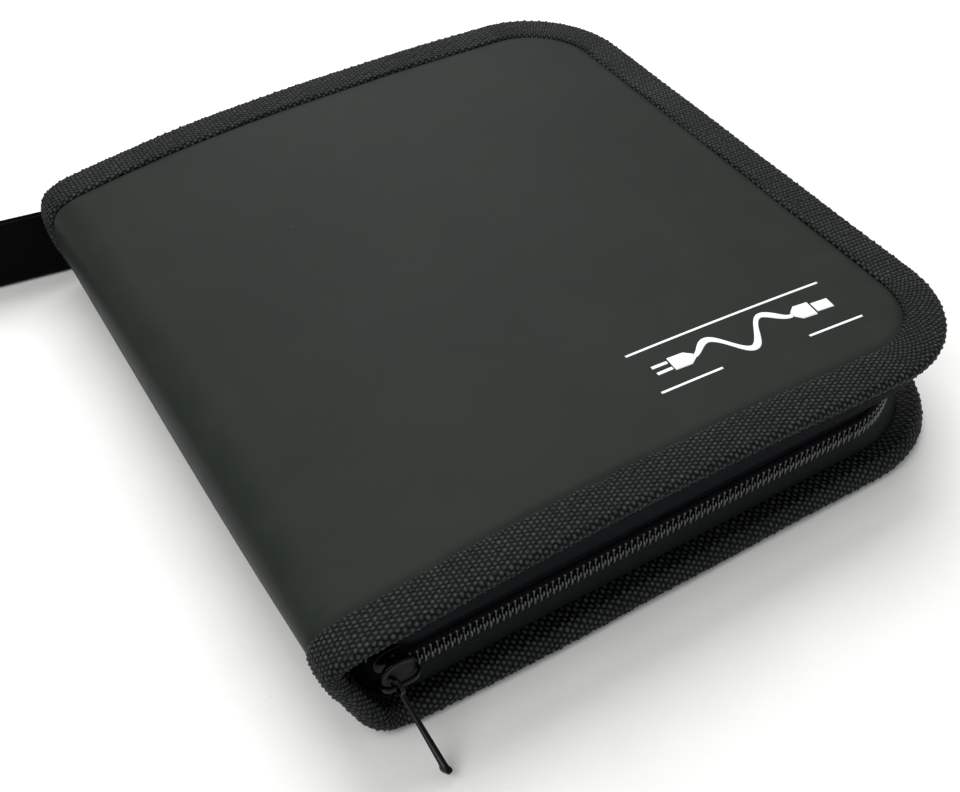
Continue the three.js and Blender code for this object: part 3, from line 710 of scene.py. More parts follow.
# The near edge has a nick in its yarn, where a few fibres have worn loose. Each lies in a low arc and
# thins towards its tip.
fibre_count = 11
fibre_stations, fibre_sides = 7, 5
fibre_radius = 0.055
fibre_root = np.array([nick_x, nick_y - 0.7, float(arch(nick_x)) + 0.35])
step = np.linspace(0, 1, fibre_stations)[:, None]
turn = np.linspace(0, 2 * math.pi, fibre_sides, endpoint=False)
fibre_ring = fibre_radius * np.stack([np.cos(turn), 0.7 * np.sin(turn), 0.7 * np.sin(turn)], -1)
fibres = []
for k in range(fibre_count):
    length = 0.9 + 0.5 * ((k * 7) % 4)
    way = 2.4 * k
    rise = 0.25 + 0.2 * (k % 3)
    line = (fibre_root + [0.25 * math.cos(way * 2), 0.2 * math.sin(way * 2), 0]
            + step * length * np.array([math.cos(way), 0.6 * math.sin(way), 0])
            + np.sin(step * 2.4) * rise * np.array([0, 0, 1])
            + step ** 2 * 0.5 * np.array([-math.sin(way), math.cos(way), 0]))
    fibres.append(line[:, None] + fibre_ring[None] * (1.05 - step[:, None]))
loose_fibres = joined_tubes("loose_fibres", fibres)
loose_fibres.data.materials.append(tape_yarn)
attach(loose_fibres, "front_cover")

# ------------------------------------------------------------------ zip tapes
# The zip is a nylon coil sewn on two fine black tapes. The upper tape is sewn in under the front lip
# and bulges out over the coil; the lower one slopes in from the coil to the back cover. The coil runs
# a little further in at the two corners, and the ends turn into the case beside the spine.

zip_inset = 3.4
zip_corner = 34.0
corner_recess = 3.2
turned_in = 9.0
turn_length = 12.0
zip_start = -77.0
zip_line = 19.3
tape_cloth = 0.45
tape_wave = 0.12
zip_path = (zip_start, half_width - zip_inset, half_length - zip_inset, zip_corner)


def turn_in(xy):
    """The zip's ends bend into the case beside the spine, by the square of the distance past the bend."""
    past = np.clip((zip_start + turn_length - xy[..., 0]) / turn_length, 0, 1)
    return xy - np.stack([0 * past, np.sign(xy[..., 1]) * turned_in * past ** 2], -1)


def corner_inset(t):
    """How much further in the zip runs at its two corners: a squared sine over each turn."""
    first, second = np.clip(t - 1, 0, 1), np.clip(t - 3, 0, 1)
    return corner_recess * (np.sin(first * math.pi) ** 2 + np.sin(second * math.pi) ** 2)


def zip_fold(t, lip_inset, coil_inset, coil_share, z):
    """A point between the cover's lip and the coil's line: both paths at t, each moved in by its inset,
    mixed by coil_share, at height z."""
    lip_middle, lip_out = round_path(t, zip_start, half_width, half_length, corner_radius)
    coil_middle, coil_out = round_path(t, *zip_path)
    lip_xy = lip_middle + lip_out * (corner_radius - lip_inset)[..., None]
    coil_xy = coil_middle + coil_out * (zip_corner - coil_inset - corner_inset(t))[..., None]
    lip_xy, coil_xy = turn_in(lip_xy), turn_in(coil_xy)
    xy = lip_xy * (1 - coil_share)[..., None] + coil_xy * coil_share[..., None]
    return np.concatenate([xy, z[..., None]], -1)


def zip_tape(name, stations, material, columns=14):
    """A tape carried along the zip. Each station of its section is the inset from the lip's line, the
    inset from the coil's line, the share of the coil's line, the height where the cover stands at its
    crown, and the share that it takes of the cover's fall."""
    t, distance = even_steps(*zip_path, 1.1)
    section = smooth_line(stations, max(1, columns // (len(stations) - 1)))
    tt = np.broadcast_to(t[:, None], (len(t), len(section)))
    lip_in, coil_in, share, low_z, high_share = (np.broadcast_to(section[:, k], tt.shape) for k in range(5))
    middle, out = round_path(tt, zip_start, half_width, half_length, corner_radius)
    cover_z = arch((middle + out * corner_radius)[..., 0])
    z = low_z + high_share * (cover_z - crown_height)
    z = z - tape_wave * np.sin(distance / 9.0)[:, None] * np.sin(share * math.pi)
    face = zip_fold(tt, lip_in, coil_in, share, z)
    rear = zip_fold(tt, lip_in + tape_cloth, coil_in + tape_cloth, share, z)
    across = np.concatenate([[0], np.cumsum(np.linalg.norm(np.diff(face[len(t) // 6], axis=0), axis=1))])
    pattern = np.stack(np.broadcast_arrays(distance[:, None], across[None, :]), -1)
    piece = closed_sheet(name, face, rear, pattern)
    piece.data.materials.append(material)
    return piece


def tape_finish(name, low, high, slant, pitch):
    """Fine ribbed tape: ribs at a slant to the tape's length, each a smooth wave, over a fine grain."""
    material, tree, shader = finish_of(name, roughness=0.6, specular=0.05)
    flat = add_node(tree, "ShaderNodeSeparateXYZ", {
        0: add_node(tree, "ShaderNodeUVMap", uv_map="pattern").outputs[0]})
    turned = math_node(tree, "ADD", math_node(tree, "MULTIPLY", flat.outputs[0], math.cos(slant)),
                       math_node(tree, "MULTIPLY", flat.outputs[1], math.sin(slant)))
    rib = sine_wave(tree, turned, pitch)
    grain = use_group(tree, mottle, Grain=0.45, Low=0.35, High=0.65).outputs[0]
    shade = mix_colour(tree, math_node(tree, "MULTIPLY", rib, 0.8), low, high)
    tree.links.new(mix_colour(tree, math_node(tree, "MULTIPLY", grain, 0.4), shade,
                              tuple(c * 1.6 for c in high[:3]) + (1,)), shader.inputs["Base Color"])
    set_bump(tree, shader, math_node(tree, "ADD", rib, math_node(tree, "MULTIPLY", grain, 0.5)), 0.16)
    return material


upper_cloth = tape_finish("upper_tape_cloth", (0.0008, 0.0010, 0.0016, 1),
                          (0.0042, 0.0052, 0.0074, 1), 1.2, 0.6)
lower_cloth = tape_finish("lower_tape_cloth", (0.0008, 0.0014, 0.0014, 1),
                          (0.0080, 0.0120, 0.0116, 1), 0.75, 0.95)

upper_tape = zip_tape("upper_tape", [
    (2.6, 2.6, 0.0, 34.6, 1.0), (1.5, 2.0, 0.0, 33.6, 0.95), (1.15, 1.2, 0.05, 31.4, 0.75),
    (1.25, 0.2, 0.25, 28.6, 0.45), (1.9, -0.6, 0.6, 26.4, 0.15), (3.2, -0.1, 0.9, 25.3, 0.05),
    (4.2, 1.1, 1.0, 24.4, 0.0), (4.4, 1.3, 1.0, 22.8, 0.0), (4.0, 0.9, 1.0, 21.0, 0.0)],
    upper_cloth, 24)
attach(upper_tape, "front_cover")
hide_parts("upper_zip_tape")
lower_tape = zip_tape("lower_tape", [
    (3.4, 0.5, 1.0, 17.4, 0.0), (3.2, 0.1, 1.0, 16.3, 0.0), (3.5, 0.2, 0.9, 14.0, 0.0),
    (4.3, 0.9, 0.6, 10.5, 0.0), (5.4, 2.0, 0.3, 7.4, 0.0), (7.0, 3.4, 0.0, 5.5, 0.0)],
    lower_cloth, 15)
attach(lower_tape, "back_cover")
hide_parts("lower_zip_tape")

# ------------------------------------------------------------------ zip coil
# A No. 5 coil of nylon wire at 1.5 mm pitch, on a black cord. Outside the tape each turn shows as a
# thin bent shank with a small round head above, and below it as a long and a short plump loop.

tooth_pitch = 1.5
wire_sides = 7

wire, tree, shader = finish_of("nylon_wire", roughness=0.3, specular=0.8, Coat_Weight=0.2)
wire_wear = use_group(tree, mottle, Grain=2.0, Low=0.35, High=0.7).outputs[0]
tree.links.new(mix_colour(tree, wire_wear, (0.008, 0.010, 0.010, 1), (0.036, 0.040, 0.039, 1)),
               shader.inputs["Base Color"])
tree.links.new(spread(tree, wire_wear, 0, 1, 0.25, 0.42), shader.inputs["Roughness"])

tooth_t = even_steps(*zip_path, tooth_pitch)[0]
tooth_t = (tooth_t[:-1] + tooth_t[1:]) / 2
tooth_middle, tooth_out = round_path(tooth_t, *zip_path)
tooth_xy = turn_in(tooth_middle + tooth_out * (zip_corner - corner_inset(tooth_t))[:, None])
tooth_place = np.column_stack([tooth_xy, np.full(len(tooth_t), zip_line)])
tooth_along = np.column_stack([-tooth_out[:, 1], tooth_out[:, 0], 0 * tooth_t])
tooth_outward = np.column_stack([tooth_out, 0 * tooth_t])


def wire_shape(line, radii):
    """A bent wire with round ends, in (along the zip, outwards, up): rings of a given radius round a line,
    square to its middle direction."""
    line = np.asarray(line, float)
    radii = np.asarray(radii, float)
    way = np.gradient(line, axis=0)
    way = way / np.linalg.norm(way, axis=1)[:, None]
    side = np.cross(way, [0, 1, 0])
    side = side / np.linalg.norm(side, axis=1)[:, None]
    over = np.cross(side, way)
    turn = np.linspace(0, 2 * math.pi, wire_sides, endpoint=False)
    return (line[:, None] + radii[:, None, None] * (side[:, None] * np.cos(turn)[None, :, None]
                                                    + over[:, None] * np.sin(turn)[None, :, None]))


def repeat_shapes(name, shapes, material, places, alongs, outwards):
    """Closed tubes drawn once in (along, out, up), set at every place."""
    points, faces, caps, start = [], [], [], 0
    for rings in shapes:
        rows, columns = rings.shape[:2]
        local = rings.reshape(-1, 3)
        count = len(local)
        world_points = (places[:, None] + local[None, :, 0, None] * alongs[:, None]
                        + local[None, :, 1, None] * outwards[:, None] + local[None, :, 2, None] * [0, 0, 1])
        shift = (np.arange(len(places)) * count + start)[:, None, None]
        quads, ends = tube_faces(rows, columns)
        faces.append((quads[None] + shift).reshape(-1, 4))
        caps.append((ends[None] + shift).reshape(-1, columns))
        points.append(world_points.reshape(-1, 3))
        start += count * len(places)
    piece = mesh_piece(name, np.concatenate(points), [np.concatenate(faces), np.concatenate(caps)])
    piece.data.materials.append(material)
    return piece


pin = wire_shape([(0.10, 0.10, -0.35), (0.12, 0.18, 0.2), (-0.02, 0.22, 0.8), (0.14, 0.25, 1.35),
                  (0.10, 0.28, 1.7), (0.02, 0.3, 1.85), (-0.05, 0.3, 2.05), (-0.10, 0.3, 2.28),
                  (-0.12, 0.3, 2.36)], [0.10, 0.15, 0.15, 0.14, 0.16, 0.27, 0.33, 0.22, 0.04])
long_loop = wire_shape([(0.02, 0.15, -0.1), (0.08, 0.34, -0.3), (0.16, 0.42, -0.9), (0.14, 0.42, -1.6),
                        (0.02, 0.36, -2.2), (-0.04, 0.2, -2.4)], [0.06, 0.2, 0.27, 0.28, 0.22, 0.05])
short_loop = wire_shape([(0.95, 0.10, 0.15), (0.90, 0.25, -0.05), (0.80, 0.32, -0.6), (0.66, 0.32, -1.15),
                         (0.60, 0.2, -1.35)], [0.06, 0.2, 0.25, 0.22, 0.05])
upper_coil = repeat_shapes("upper_coil", [pin], wire, tooth_place, tooth_along, tooth_outward)
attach(upper_coil, "front_cover")
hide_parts("upper_zip_coil")
lower_coil = repeat_shapes("lower_coil", [long_loop, short_loop], wire,
                           tooth_place, tooth_along, tooth_outward)
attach(lower_coil, "back_cover")
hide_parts("lower_zip_coil")

cord_black, tree, shader = finish_of("coil_core_yarn", roughness=0.8, specular=0.05)
core_shade = use_group(tree, mottle, Grain=0.8, Low=0.35, High=0.7).outputs[0]
tree.links.new(mix_colour(tree, core_shade, grey(0.002), grey(0.006)), shader.inputs["Base Color"])
set_bump(tree, shader, core_shade, 0.1)
core_sides = 10
for name, body, low_z, high_z in (("upper_coil_core", "front_cover", 19.4, 21.6),
                                  ("lower_coil_core", "back_cover", 16.6, 19.25)):
    t = even_steps(*zip_path, tooth_pitch)[0]
    turn = np.linspace(0, 2 * math.pi, core_sides, endpoint=False)
    tt = np.broadcast_to(t[:, None], (len(t), core_sides))
    core_inset = np.broadcast_to(0.75 - 0.6 * np.cos(turn), tt.shape)
    core_z = np.broadcast_to((low_z + high_z) / 2 + (high_z - low_z) / 2 * np.sin(turn), tt.shape)
    core = closed_tube(name, zip_fold(tt, core_inset, core_inset, np.ones_like(tt), core_z))
    core.data.materials.append(cord_black)
    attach(core, body)

# ------------------------------------------------------------------ slider and pull tab
# A die-cast zinc slider in gloss black paint: two curved plates on a post, a bridge over the outer
# plate, and a long thin tab that hangs from the bridge by its eye, with a raised rim all round.

slider_x = -70.5
slider_half_length = 4.1
slider_half_width = 3.6
plate_face = -half_length + 1.8
plate_sides = 48

paint, tree, shader = finish_of("black_gloss_paint", roughness=0.24, specular=0.1)
rub = use_group(tree, mottle, Grain=1.2, Low=0.66, High=0.74).outputs[0]
tree.links.new(mix_colour(tree, math_node(tree, "MULTIPLY", rub, 0.35), grey(0.0015), grey(0.06)),
               shader.inputs["Base Color"])
tree.links.new(spread(tree, rub, 0, 1, 0.14, 0.34), shader.inputs["Roughness"])
set_bump(tree, shader, use_group(tree, mottle, Grain=0.6, Low=0.3, High=0.7).outputs[0], 0.01)


def plate_rings(stations):
    """A rounded shield outline. Each station is the outline's share of its full size, its depth behind
    the slider's face, and how far the outline's top and bottom edges curl in."""
    turn = np.linspace(0, 2 * math.pi, plate_sides, endpoint=False)
    c, s = np.cos(turn), np.sin(turn)
    power = 2 / 2.3  # a little squarer than an ellipse
    x = np.sign(c) * np.abs(c) ** power * slider_half_length
    z = np.sign(s) * np.abs(s) ** power * slider_half_width * (0.93 + 0.07 * c)
    share, depth, curl = np.array(stations, float).T
    y = depth[:, None] + curl[:, None] * (np.abs(s)[None, :] ** 6)
    return np.stack([slider_x + share[:, None] * x[None, :], plate_face + y,
                     zip_line + share[:, None] * z[None, :]], -1)


outer_plate = plate_rings([(0.02, 0.95, 0), (0.86, 0.95, 0), (0.95, 0.95, 0.9), (1.0, 0.8, 0.8),
                           (1.03, 0.45, 0.3), (1.0, 0.1, 0), (0.94, -0.08, 0), (0.87, -0.02, 0),
                           (0.82, 0.1, 0), (0.6, 0.06, 0), (0.02, 0.0, 0)])
inner_plate = plate_rings([(0.02, 4.4, 0), (0.9, 4.4, 0), (0.99, 4.2, 0), (1.03, 3.9, 0),
                           (1.0, 3.55, 0), (0.9, 3.45, 0), (0.02, 3.45, 0)])
post = plate_rings([(0.36, 0.6, 0), (0.36, 3.8, 0)])
post[..., 2] = zip_line + (post[..., 2] - zip_line) * 0.2
slider = joined_tubes("slider_body", (outer_plate, inner_plate, post))
slider.data.materials.append(paint)
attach(slider, "slider")
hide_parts("zip_slider")


def bar_along(line, half_wide, half_thick, across, sides=16, power=0.6):
    """A bar with a rounded section carried along a line: across is its wide direction."""
    line = np.asarray(line, float)
    way = np.gradient(line, axis=0)
    way = way / np.linalg.norm(way, axis=1)[:, None]
    across = np.broadcast_to(np.asarray(across, float), line.shape)
    thin = np.cross(way, across)
    thin = thin / np.linalg.norm(thin, axis=1)[:, None]
    turn = np.linspace(0, 2 * math.pi, sides, endpoint=False)
    c = np.sign(np.cos(turn)) * np.abs(np.cos(turn)) ** power
    s = np.sign(np.sin(turn)) * np.abs(np.sin(turn)) ** power
    wide = np.broadcast_to(np.asarray(half_wide, float), len(line))
    thick = np.broadcast_to(np.asarray(half_thick, float), len(line))
    return (line[:, None] + across[:, None] * (wide[:, None] * c)[..., None]
            + thin[:, None] * (thick[:, None] * s)[..., None])


bridge_line = smooth_line([(-75.1, -88.2, zip_line), (-75.2, -89.4, zip_line), (-74.7, -90.7, zip_line),
                           (-73.4, -91.1, zip_line), (-71, -91.1, zip_line), (-68.4, -91.0, zip_line),
                           (-67.1, -90.2, zip_line), (-66.8, -89.2, zip_line), (-66.8, -88.2, zip_line)], 6)
bridge = closed_tube("slider_bridge_bar", bar_along(bridge_line, 0.62, 0.36, (0, 0, 1)))
bridge.data.materials.append(paint)
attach(bridge, "slider")
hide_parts("slider_bridge")

tab_root = np.array([-72.5, -91.05, zip_line])
tab_reach = 21.6
tab_droop = math.radians(55)
tab_turn = math.radians(15)
swing = np.array([[math.cos(tab_turn), -math.sin(tab_turn), 0],
                  [math.sin(tab_turn), math.cos(tab_turn), 0], [0, 0, 1]])
tab_tip = tab_root + tab_reach * swing @ np.array([0, -math.cos(tab_droop), -math.sin(tab_droop)])
tab_root = tab_root + [0, 0, 0.6]
tab_way = (tab_tip - tab_root) / np.linalg.norm(tab_tip - tab_root)
tab_wide = swing @ np.array([0, -math.sin(tab_droop), math.cos(tab_droop)])
tab_thin = np.cross(tab_way, tab_wide)
tab_thin = tab_thin / np.linalg.norm(tab_thin)
tab_wide = np.cross(tab_thin, tab_way)

along_tab = np.array([1.6, 2.2, 3.5, 6, 9, 12, 15, 17.5, 19.3, 20.2, 20.5, 20.9, 21.3, 21.6, 21.68])
tab_half = np.array([0.75, 0.68, 0.65, 0.7, 0.85, 1.0, 1.2, 1.35, 1.45, 1.5, 1.6, 1.7, 1.65, 1.45, 0.9])
tab_thick = np.array([0.4, 0.42, 0.45, 0.45, 0.45, 0.45, 0.45, 0.45, 0.45, 0.5, 0.65, 0.75, 0.75, 0.65, 0.35])
turn = np.linspace(0, 2 * math.pi, 28, endpoint=False)
across_share = np.sign(np.cos(turn)) * np.abs(np.cos(turn)) ** 0.45
thick_share = np.sign(np.sin(turn)) * np.abs(np.sin(turn)) ** 0.45
hollow = np.clip(1 - (np.abs(across_share) / 0.62) ** 6, 0, 1)
flat_tip = np.clip((20.3 - along_tab) / 0.6, 0, 1)
thick_here = tab_thick[:, None] * (1 - 0.5 * hollow[None, :] * flat_tip[:, None]) * thick_share[None, :]
tab_rings = (tab_root + along_tab[:, None, None] * tab_way
             + (tab_half[:, None] * across_share[None, :])[..., None] * tab_wide
             + thick_here[..., None] * tab_thin)
eye_steps, eye_sides = 36, 12
eye_radius, eye_half_wide, eye_half_thick = 1.9, 0.38, 0.45
eye_turn = np.linspace(0, 2 * math.pi, eye_steps, endpoint=False)
eye_section = np.linspace(0, 2 * math.pi, eye_sides, endpoint=False)
eye_out = np.cos(eye_turn)[:, None] * tab_way + np.sin(eye_turn)[:, None] * tab_wide
eye_rings = (tab_root + eye_out[:, None] * (eye_radius + eye_half_wide * np.cos(eye_section))[None, :, None]
             + (eye_half_thick * np.sin(eye_section))[None, :, None] * tab_thin)
tab_faces, tab_caps = tube_faces(*tab_rings.shape[:2])
i = np.arange(eye_steps)[:, None]
j = np.arange(eye_sides)[None, :]
next_i, next_j = (i + 1) % eye_steps, (j + 1) % eye_sides
eye_faces = np.stack([i * eye_sides + j, i * eye_sides + next_j, next_i * eye_sides + next_j,
                      next_i * eye_sides + j], -1).reshape(-1, 4) + tab_rings.shape[0] * tab_rings.shape[1]


def outward(points, faces):
    """Faces turned so that their closed shape has a positive volume."""
    a = points[faces[:, 0]]
    volume = sum(np.einsum("ij,ij->i", a, np.cross(points[faces[:, k]], points[faces[:, k + 1]])).sum()
                 for k in range(1, faces.shape[1] - 1))
    return faces if volume > 0 else faces[:, ::-1]


tab_points = np.concatenate([tab_rings.reshape(-1, 3), eye_rings.reshape(-1, 3)])
pull_tab = mesh_piece("pull_tab_bar", tab_points, [
    np.concatenate([outward(tab_points - tab_root, f) for f in (tab_faces, eye_faces)]), tab_caps])
pull_tab.data.materials.append(paint)
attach(pull_tab, "tab")
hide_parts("pull_tab")

# ------------------------------------------------------------------ wrist strap
# A length of 20 mm ribbed webbing, doubled into a loop and sewn to itself at the root.
# It leaves the far spine corner, where the edge tape grips it, and stands on its edge.

strap_width = 20.0
webbing = 1.4
strap_length = 165.0
strap_sewn = 30.0
loop_radius = 18.0
strap_lift = 0.6
strap_lean = 1.6
strap_bead, strap_bead_rows = 1.25, 16
strap_root = np.array([-75.6, 95.2])
strap_heading = math.radians(169)

# The webbing's yarn, with painted shade in the hollows between its beads.
strap_yarn = woven_finish("strap_webbing_yarn", (0.0006, 0.0007, 0.0010, 1),
                          (0.0016, 0.0018, 0.0024, 1), 0.14, 0.03)


def strap_side(along):
    """Half the gap between the two runs at a distance from the root: closed where they are sewn, then
    opening as a squared sine."""
    share = np.clip((along - strap_sewn) / (strap_length - loop_radius - strap_sewn), 0, 1)
    closed = webbing / 2 + 0.05
    return closed + (loop_radius - closed) * np.sin(math.pi / 2 * share) ** 2


along_run = np.linspace(0, strap_length - loop_radius, 90)
end_turn = np.linspace(0, math.pi, 26)[1:-1]
strap_line = np.concatenate([
    np.column_stack([along_run, strap_side(along_run)]),
    np.column_stack([strap_length - loop_radius + loop_radius * np.sin(end_turn),
                     loop_radius * np.cos(end_turn)]),
    np.column_stack([along_run[::-1], -strap_side(along_run[::-1])])])
strap_way = np.gradient(strap_line, axis=0)
strap_way = strap_way / np.linalg.norm(strap_way, axis=1)[:, None]
strap_out = np.column_stack([-strap_way[:, 1], strap_way[:, 0]])
strap_run = np.concatenate([[0], np.cumsum(np.hypot(*np.diff(strap_line, axis=0).T))])
height_share = np.linspace(0, 1, 25)
edge_round = np.sqrt(np.clip(1 - (np.abs(2 * height_share - 1) ** 14), 0.06, 1))
heading = np.array([[math.cos(strap_heading), -math.sin(strap_heading)],
                    [math.sin(strap_heading), math.cos(strap_heading)]])


def strap_grid(way):
    """The strap's face on one side: its line moved by half the webbing's thickness, leaning a little
    as it rises."""
    shift = way * (webbing / 2 - 0.04) * edge_round[None, :, None] * strap_out[:, None, :]
    flat = (strap_line[:, None, :] + shift) @ heading.T + strap_root
    free = np.clip((strap_line[:, 0] - 6) / 60, 0, 1)[:, None]
    flat = flat + np.array([0.0, strap_lean])[None, None, :] * (free * height_share[None, :])[..., None]
    z = np.broadcast_to(strap_lift + strap_width * height_share[None, :], flat.shape[:2])
    return np.concatenate([flat, z[..., None]], -1)


strap = closed_sheet("strap_webbing_loop", strap_grid(1), strap_grid(-1), np.stack(np.broadcast_arrays(
    strap_run[:, None] / strap_bead, height_share[None, :] * strap_bead_rows), -1))
strap.data.materials.append(strap_yarn)
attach(strap, "strap")
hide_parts("wrist_strap")
finish_node("strap_anchor", strap_yarn)

# ------------------------------------------------------------------ printed mark
# White ink screen-printed on the front cover: a plain drawing of a cable with a plug at each end,
# between thin rules. The ink lies a hair above the skin and is a little worn.

ink, tree, shader = finish_of("white_ink", roughness=0.55, specular=0.35)
worn = use_group(tree, mottle, Grain=0.8, Low=0.62, High=0.72).outputs[0]
tone = use_group(tree, mottle, Grain=9.0, Low=0.35, High=0.7).outputs[0]
tree.links.new(mix_colour(tree, math_node(tree, "MULTIPLY", worn, 0.5),
                          mix_colour(tree, tone, (0.80, 0.81, 0.80, 1), (0.90, 0.91, 0.90, 1)),
                          (0.30, 0.31, 0.30, 1)), shader.inputs["Base Color"])
ink_stand = 0.05
front_across = np.linspace(30, front_reach, 600)
front_place_x = fold(front_across, 0.0, 0.0)[..., 0]
ink_points, ink_faces = [], []


def ink_stroke(line, half_widths):
    """A stroke of ink along a line of plan points, with a half width at each, laid on the arched cover."""
    start = sum(len(points) for points in ink_points)
    line = np.asarray(line, float)
    way = np.gradient(line, axis=0)
    way = way / np.maximum(np.linalg.norm(way, axis=1), 1e-9)[:, None]
    side = np.column_stack([-way[:, 1], way[:, 0]])
    half = np.broadcast_to(np.asarray(half_widths, float), len(line))
    share = np.linspace(-1, 1, 5)
    flat = line[:, None] + side[:, None] * (half[:, None] * share[None, :])[..., None]
    across = np.interp(flat[..., 0], front_place_x, front_across)
    base = -skin_depth + ripple_height * ripple(across, flat[..., 1])
    for stand in (ink_stand, -ink_stand):
        ink_points.append(fold(across, flat[..., 1], base + stand).reshape(-1, 3))
    ink_faces.append(sheet_faces(*flat.shape[:2], start))


def straight(x0, y0, x1, y1, steps=24):
    """A straight line of plan points."""
    return np.column_stack([np.linspace(x0, x1, steps), np.linspace(y0, y1, steps)])


rule_half_width = 0.30
ink_stroke(straight(6.5, -53.6, 59.5, -55.2, 60), rule_half_width)
ink_stroke(straight(6.5, -67.2, 22.5, -67.7, 30), rule_half_width)
ink_stroke(straight(45.5, -69.2, 60.5, -69.7, 30), rule_half_width)
cable_start, cable_length, cable_height = 19.5, 27.5, 4.6
cable_x = np.linspace(cable_start, cable_start + cable_length, 140)
cable_share = (cable_x - cable_start) / cable_length
cable_y = -61.4 + cable_height * np.sin(cable_share * 3.2 * math.pi) * np.sin(cable_share * math.pi) ** 0.7
ink_stroke(np.column_stack([cable_x, cable_y]), 0.55 + 0.35 * np.sin(cable_share * 3 * math.pi) ** 2)
body_share = np.linspace(0, 1, 20)
prong_half_width = 0.42
ink_stroke(straight(13.6, -60.9, 19.6, -61.3, 20), np.interp(body_share, [0, 0.7, 1], [2.1, 2.1, 0.7]))
ink_stroke(straight(9.2, -59.7, 13.2, -59.9, 10), prong_half_width)
ink_stroke(straight(9.2, -61.9, 13.2, -62.0, 10), prong_half_width)
ink_stroke(straight(46.9, -61.4, 52.4, -61.9, 20), np.interp(body_share, [0, 0.3, 1], [0.7, 2.3, 2.3]))
ink_stroke(straight(52.9, -61.95, 57.4, -62.3, 12), 1.55)
mark = mesh_piece("printed_mark", np.concatenate(ink_points), [np.concatenate(ink_faces)])
mark.data.materials.append(ink)
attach(mark, "front_cover")

# ------------------------------------------------------------------ elastic loops
# Two strips of ribbed black elastic on the back lining, each tacked down between five arches that
# hold coiled leads. The strips are glued and sewn through the lining.

loop_count = 5
loop_pitch = 28.0
loop_height = 11.0
elastic = 1.0
strip_width = 25.0
strip_starts = (-48.0, 22.0)
strip_above_lining = 0.3

ribbed, tree, shader = finish_of("ribbed_elastic", roughness=0.7, specular=0.35, Sheen_Weight=0.25)
flat_place = add_node(tree, "ShaderNodeSeparateXYZ", {
    0: add_node(tree, "ShaderNodeUVMap", uv_map="pattern").outputs[0]})
rib = sine_wave(tree, flat_place.outputs[1], 1.25)
knit = sine_wave(tree, flat_place.outputs[0], 0.7)
both = math_node(tree, "ADD", math_node(tree, "MULTIPLY", rib, 0.7), math_node(tree, "MULTIPLY", knit, 0.3))
tree.links.new(mix_colour(tree, both, grey(0.006), grey(0.024)), shader.inputs["Base Color"])
set_bump(tree, shader, both, 0.2)

arch_turn = np.linspace(0, math.pi, 26)
arch_half = loop_pitch * 0.36
middles = (np.arange(loop_count) + 0.5) * loop_pitch - loop_count * loop_pitch / 2
arches = np.concatenate([np.column_stack([m - (arch_half + elastic / 2) * np.cos(arch_turn),
                                          elastic / 2 + (loop_height - elastic) * np.sin(arch_turn) ** 0.8])
                         for m in middles])
edge = loop_count * loop_pitch / 2
strip_line = np.vstack([[(-edge, elastic / 2), (-edge + 0.8, elastic / 2)], arches,
                        [(edge - 0.8, elastic / 2), (edge, elastic / 2)]])
strip_way = np.gradient(strip_line, axis=0)
strip_way = strip_way / np.linalg.norm(strip_way, axis=1)[:, None]
strip_up = np.column_stack([-strip_way[:, 1], strip_way[:, 0]])
strip_run = np.concatenate([[0], np.cumsum(np.hypot(*np.diff(strip_line, axis=0).T))])
wide = np.linspace(0, 1, 21)
half_thick = elastic / 2 * (0.75 + 0.25 * np.sin(wide * math.pi) ** 0.3)
for number, strip_x in enumerate(strip_starts, 1):
    faces = []
    for way in (1, -1):
        yz = strip_line[:, None] + way * strip_up[:, None] * half_thick[None, :, None]
        x = strip_x + strip_width * wide[None, :] + 0.35 * np.sin(strip_run / 9)[:, None]
        faces.append(np.stack([np.broadcast_to(x, yz.shape[:2]), yz[..., 0],
                               np.maximum(yz[..., 1], 0.02) + cover_thickness + strip_above_lining], -1))
    strip = closed_sheet(f"elastic_strip_{number}", *faces, np.stack(np.broadcast_arrays(
        strip_run[:, None], strip_width * wide[None, :]), -1))
    strip.data.materials.append(ribbed)
    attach(strip, "back_cover")
    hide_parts(f"elastic_loops_{number}")

# ------------------------------------------------------------------ mesh pocket
# A pocket of black knotted net on the front lining, sewn down on three sides and open towards the
# spine, where a folded tape hems it.

pocket_from, pocket_to = -58.0, 66.0
pocket_half = 70.0
pocket_depth = 5.4
net_pitch = 2.0
net_strand = 0.55
net_thickness = 0.4
net_below_lining = 0.35
pocket_slope = 16.0  # from the sewn edges in to the full depth
hem_half_width, hem_half_thickness, hem_sides = 2.6, 0.5, 14

net_yarn, tree, shader = finish_of("net_yarn", roughness=0.7, specular=0.35, Sheen_Weight=0.2)
twist = use_group(tree, mottle, Grain=0.7, Low=0.35, High=0.7).outputs[0]
tree.links.new(mix_colour(tree, twist, grey(0.008), grey(0.028)), shader.inputs["Base Color"])
set_bump(tree, shader, twist, 0.1)


def net_lines(low, high):
    """Pairs of lines, a strand's width apart, at every pitch."""
    starts = np.linspace(low, high - net_strand, round((high - low) / net_pitch) + 1)
    return np.column_stack([starts, starts + net_strand]).ravel()


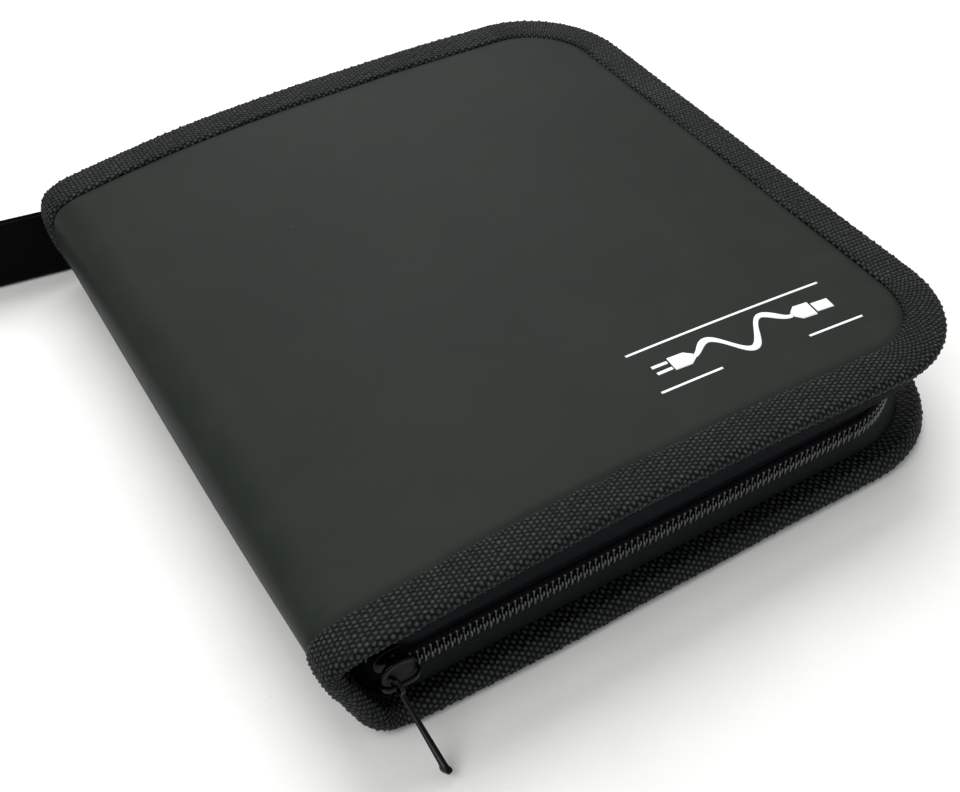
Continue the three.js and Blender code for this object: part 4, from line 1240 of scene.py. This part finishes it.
net_x, net_y = net_lines(pocket_from, pocket_to), net_lines(-pocket_half, pocket_half)
gx, gy = np.meshgrid(net_x, net_y, indexing="ij")
to_edge = np.minimum(pocket_to - gx, pocket_half - np.abs(gy))
hang = pocket_depth * np.sin(np.clip(to_edge / pocket_slope, 0, 1) * math.pi / 2)
under_lining = arch(gx) - cover_thickness - net_below_lining
net_z = under_lining - hang
rows, columns = gx.shape
index = np.arange(rows * columns).reshape(rows, columns)
solid = (np.arange(rows - 1)[:, None] % 2 == 0) | (np.arange(columns - 1)[None, :] % 2 == 0)
quads = np.stack([index[:-1, :-1], index[1:, :-1], index[1:, 1:], index[:-1, 1:]], -1)
kept = quads[solid]
shift = rows * columns
solid_pad = np.pad(solid, 1)
walls = []
for axis, near, far in ((0, index[:, :-1], index[:, 1:]), (1, index[:-1, :], index[1:, :])):
    if axis == 0:
        before, behind = solid_pad[:-1, 1:-1], solid_pad[1:, 1:-1]
    else:
        before, behind = solid_pad[1:-1, :-1], solid_pad[1:-1, 1:]
    for want, a, b in ((before & ~behind, near, far), (behind & ~before, far, near)):
        if axis == 1:
            a, b = b, a
        walls.append(np.stack([a[want], b[want], b[want] + shift, a[want] + shift], -1))
net_points = np.concatenate([np.stack([gx, gy, net_z], -1).reshape(-1, 3),
                             np.stack([gx, gy, net_z - net_thickness], -1).reshape(-1, 3)])
net_faces = np.concatenate([kept, kept[:, ::-1] + shift, np.concatenate(walls)[:, ::-1]])
net = mesh_piece("pocket_netting", net_points, [net_faces], smooth=False)
net.data.materials.append(net_yarn)
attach(net, "front_cover")
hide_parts("mesh_pocket")

hem_y = np.linspace(-pocket_half, pocket_half, 120)
hem_hang = pocket_depth * np.sin(np.clip((pocket_half - np.abs(hem_y)) / pocket_slope, 0, 1) * math.pi / 2)
hem_line = np.column_stack([np.full_like(hem_y, pocket_from - 1.2), hem_y,
                            arch(pocket_from) - cover_thickness - 0.55 - hem_hang])
hem_rings = bar_along(hem_line, hem_half_width, hem_half_thickness, (1, 0, 0), hem_sides, 0.8)
hem_pattern = np.stack(np.broadcast_arrays(hem_y[:, None] / 0.9,
                                           np.arange(hem_sides)[None, :] * 0.5), -1)
hem = closed_tube("pocket_hem_tape", hem_rings, hem_pattern)
hem.data.materials.append(tape_yarn)
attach(hem, "front_cover")
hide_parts("pocket_hem")

# ------------------------------------------------------------------ bottom stop
# A small pressed stop of black metal closes the far end of the coil.

finish_node("zip_bottom_stop", paint)
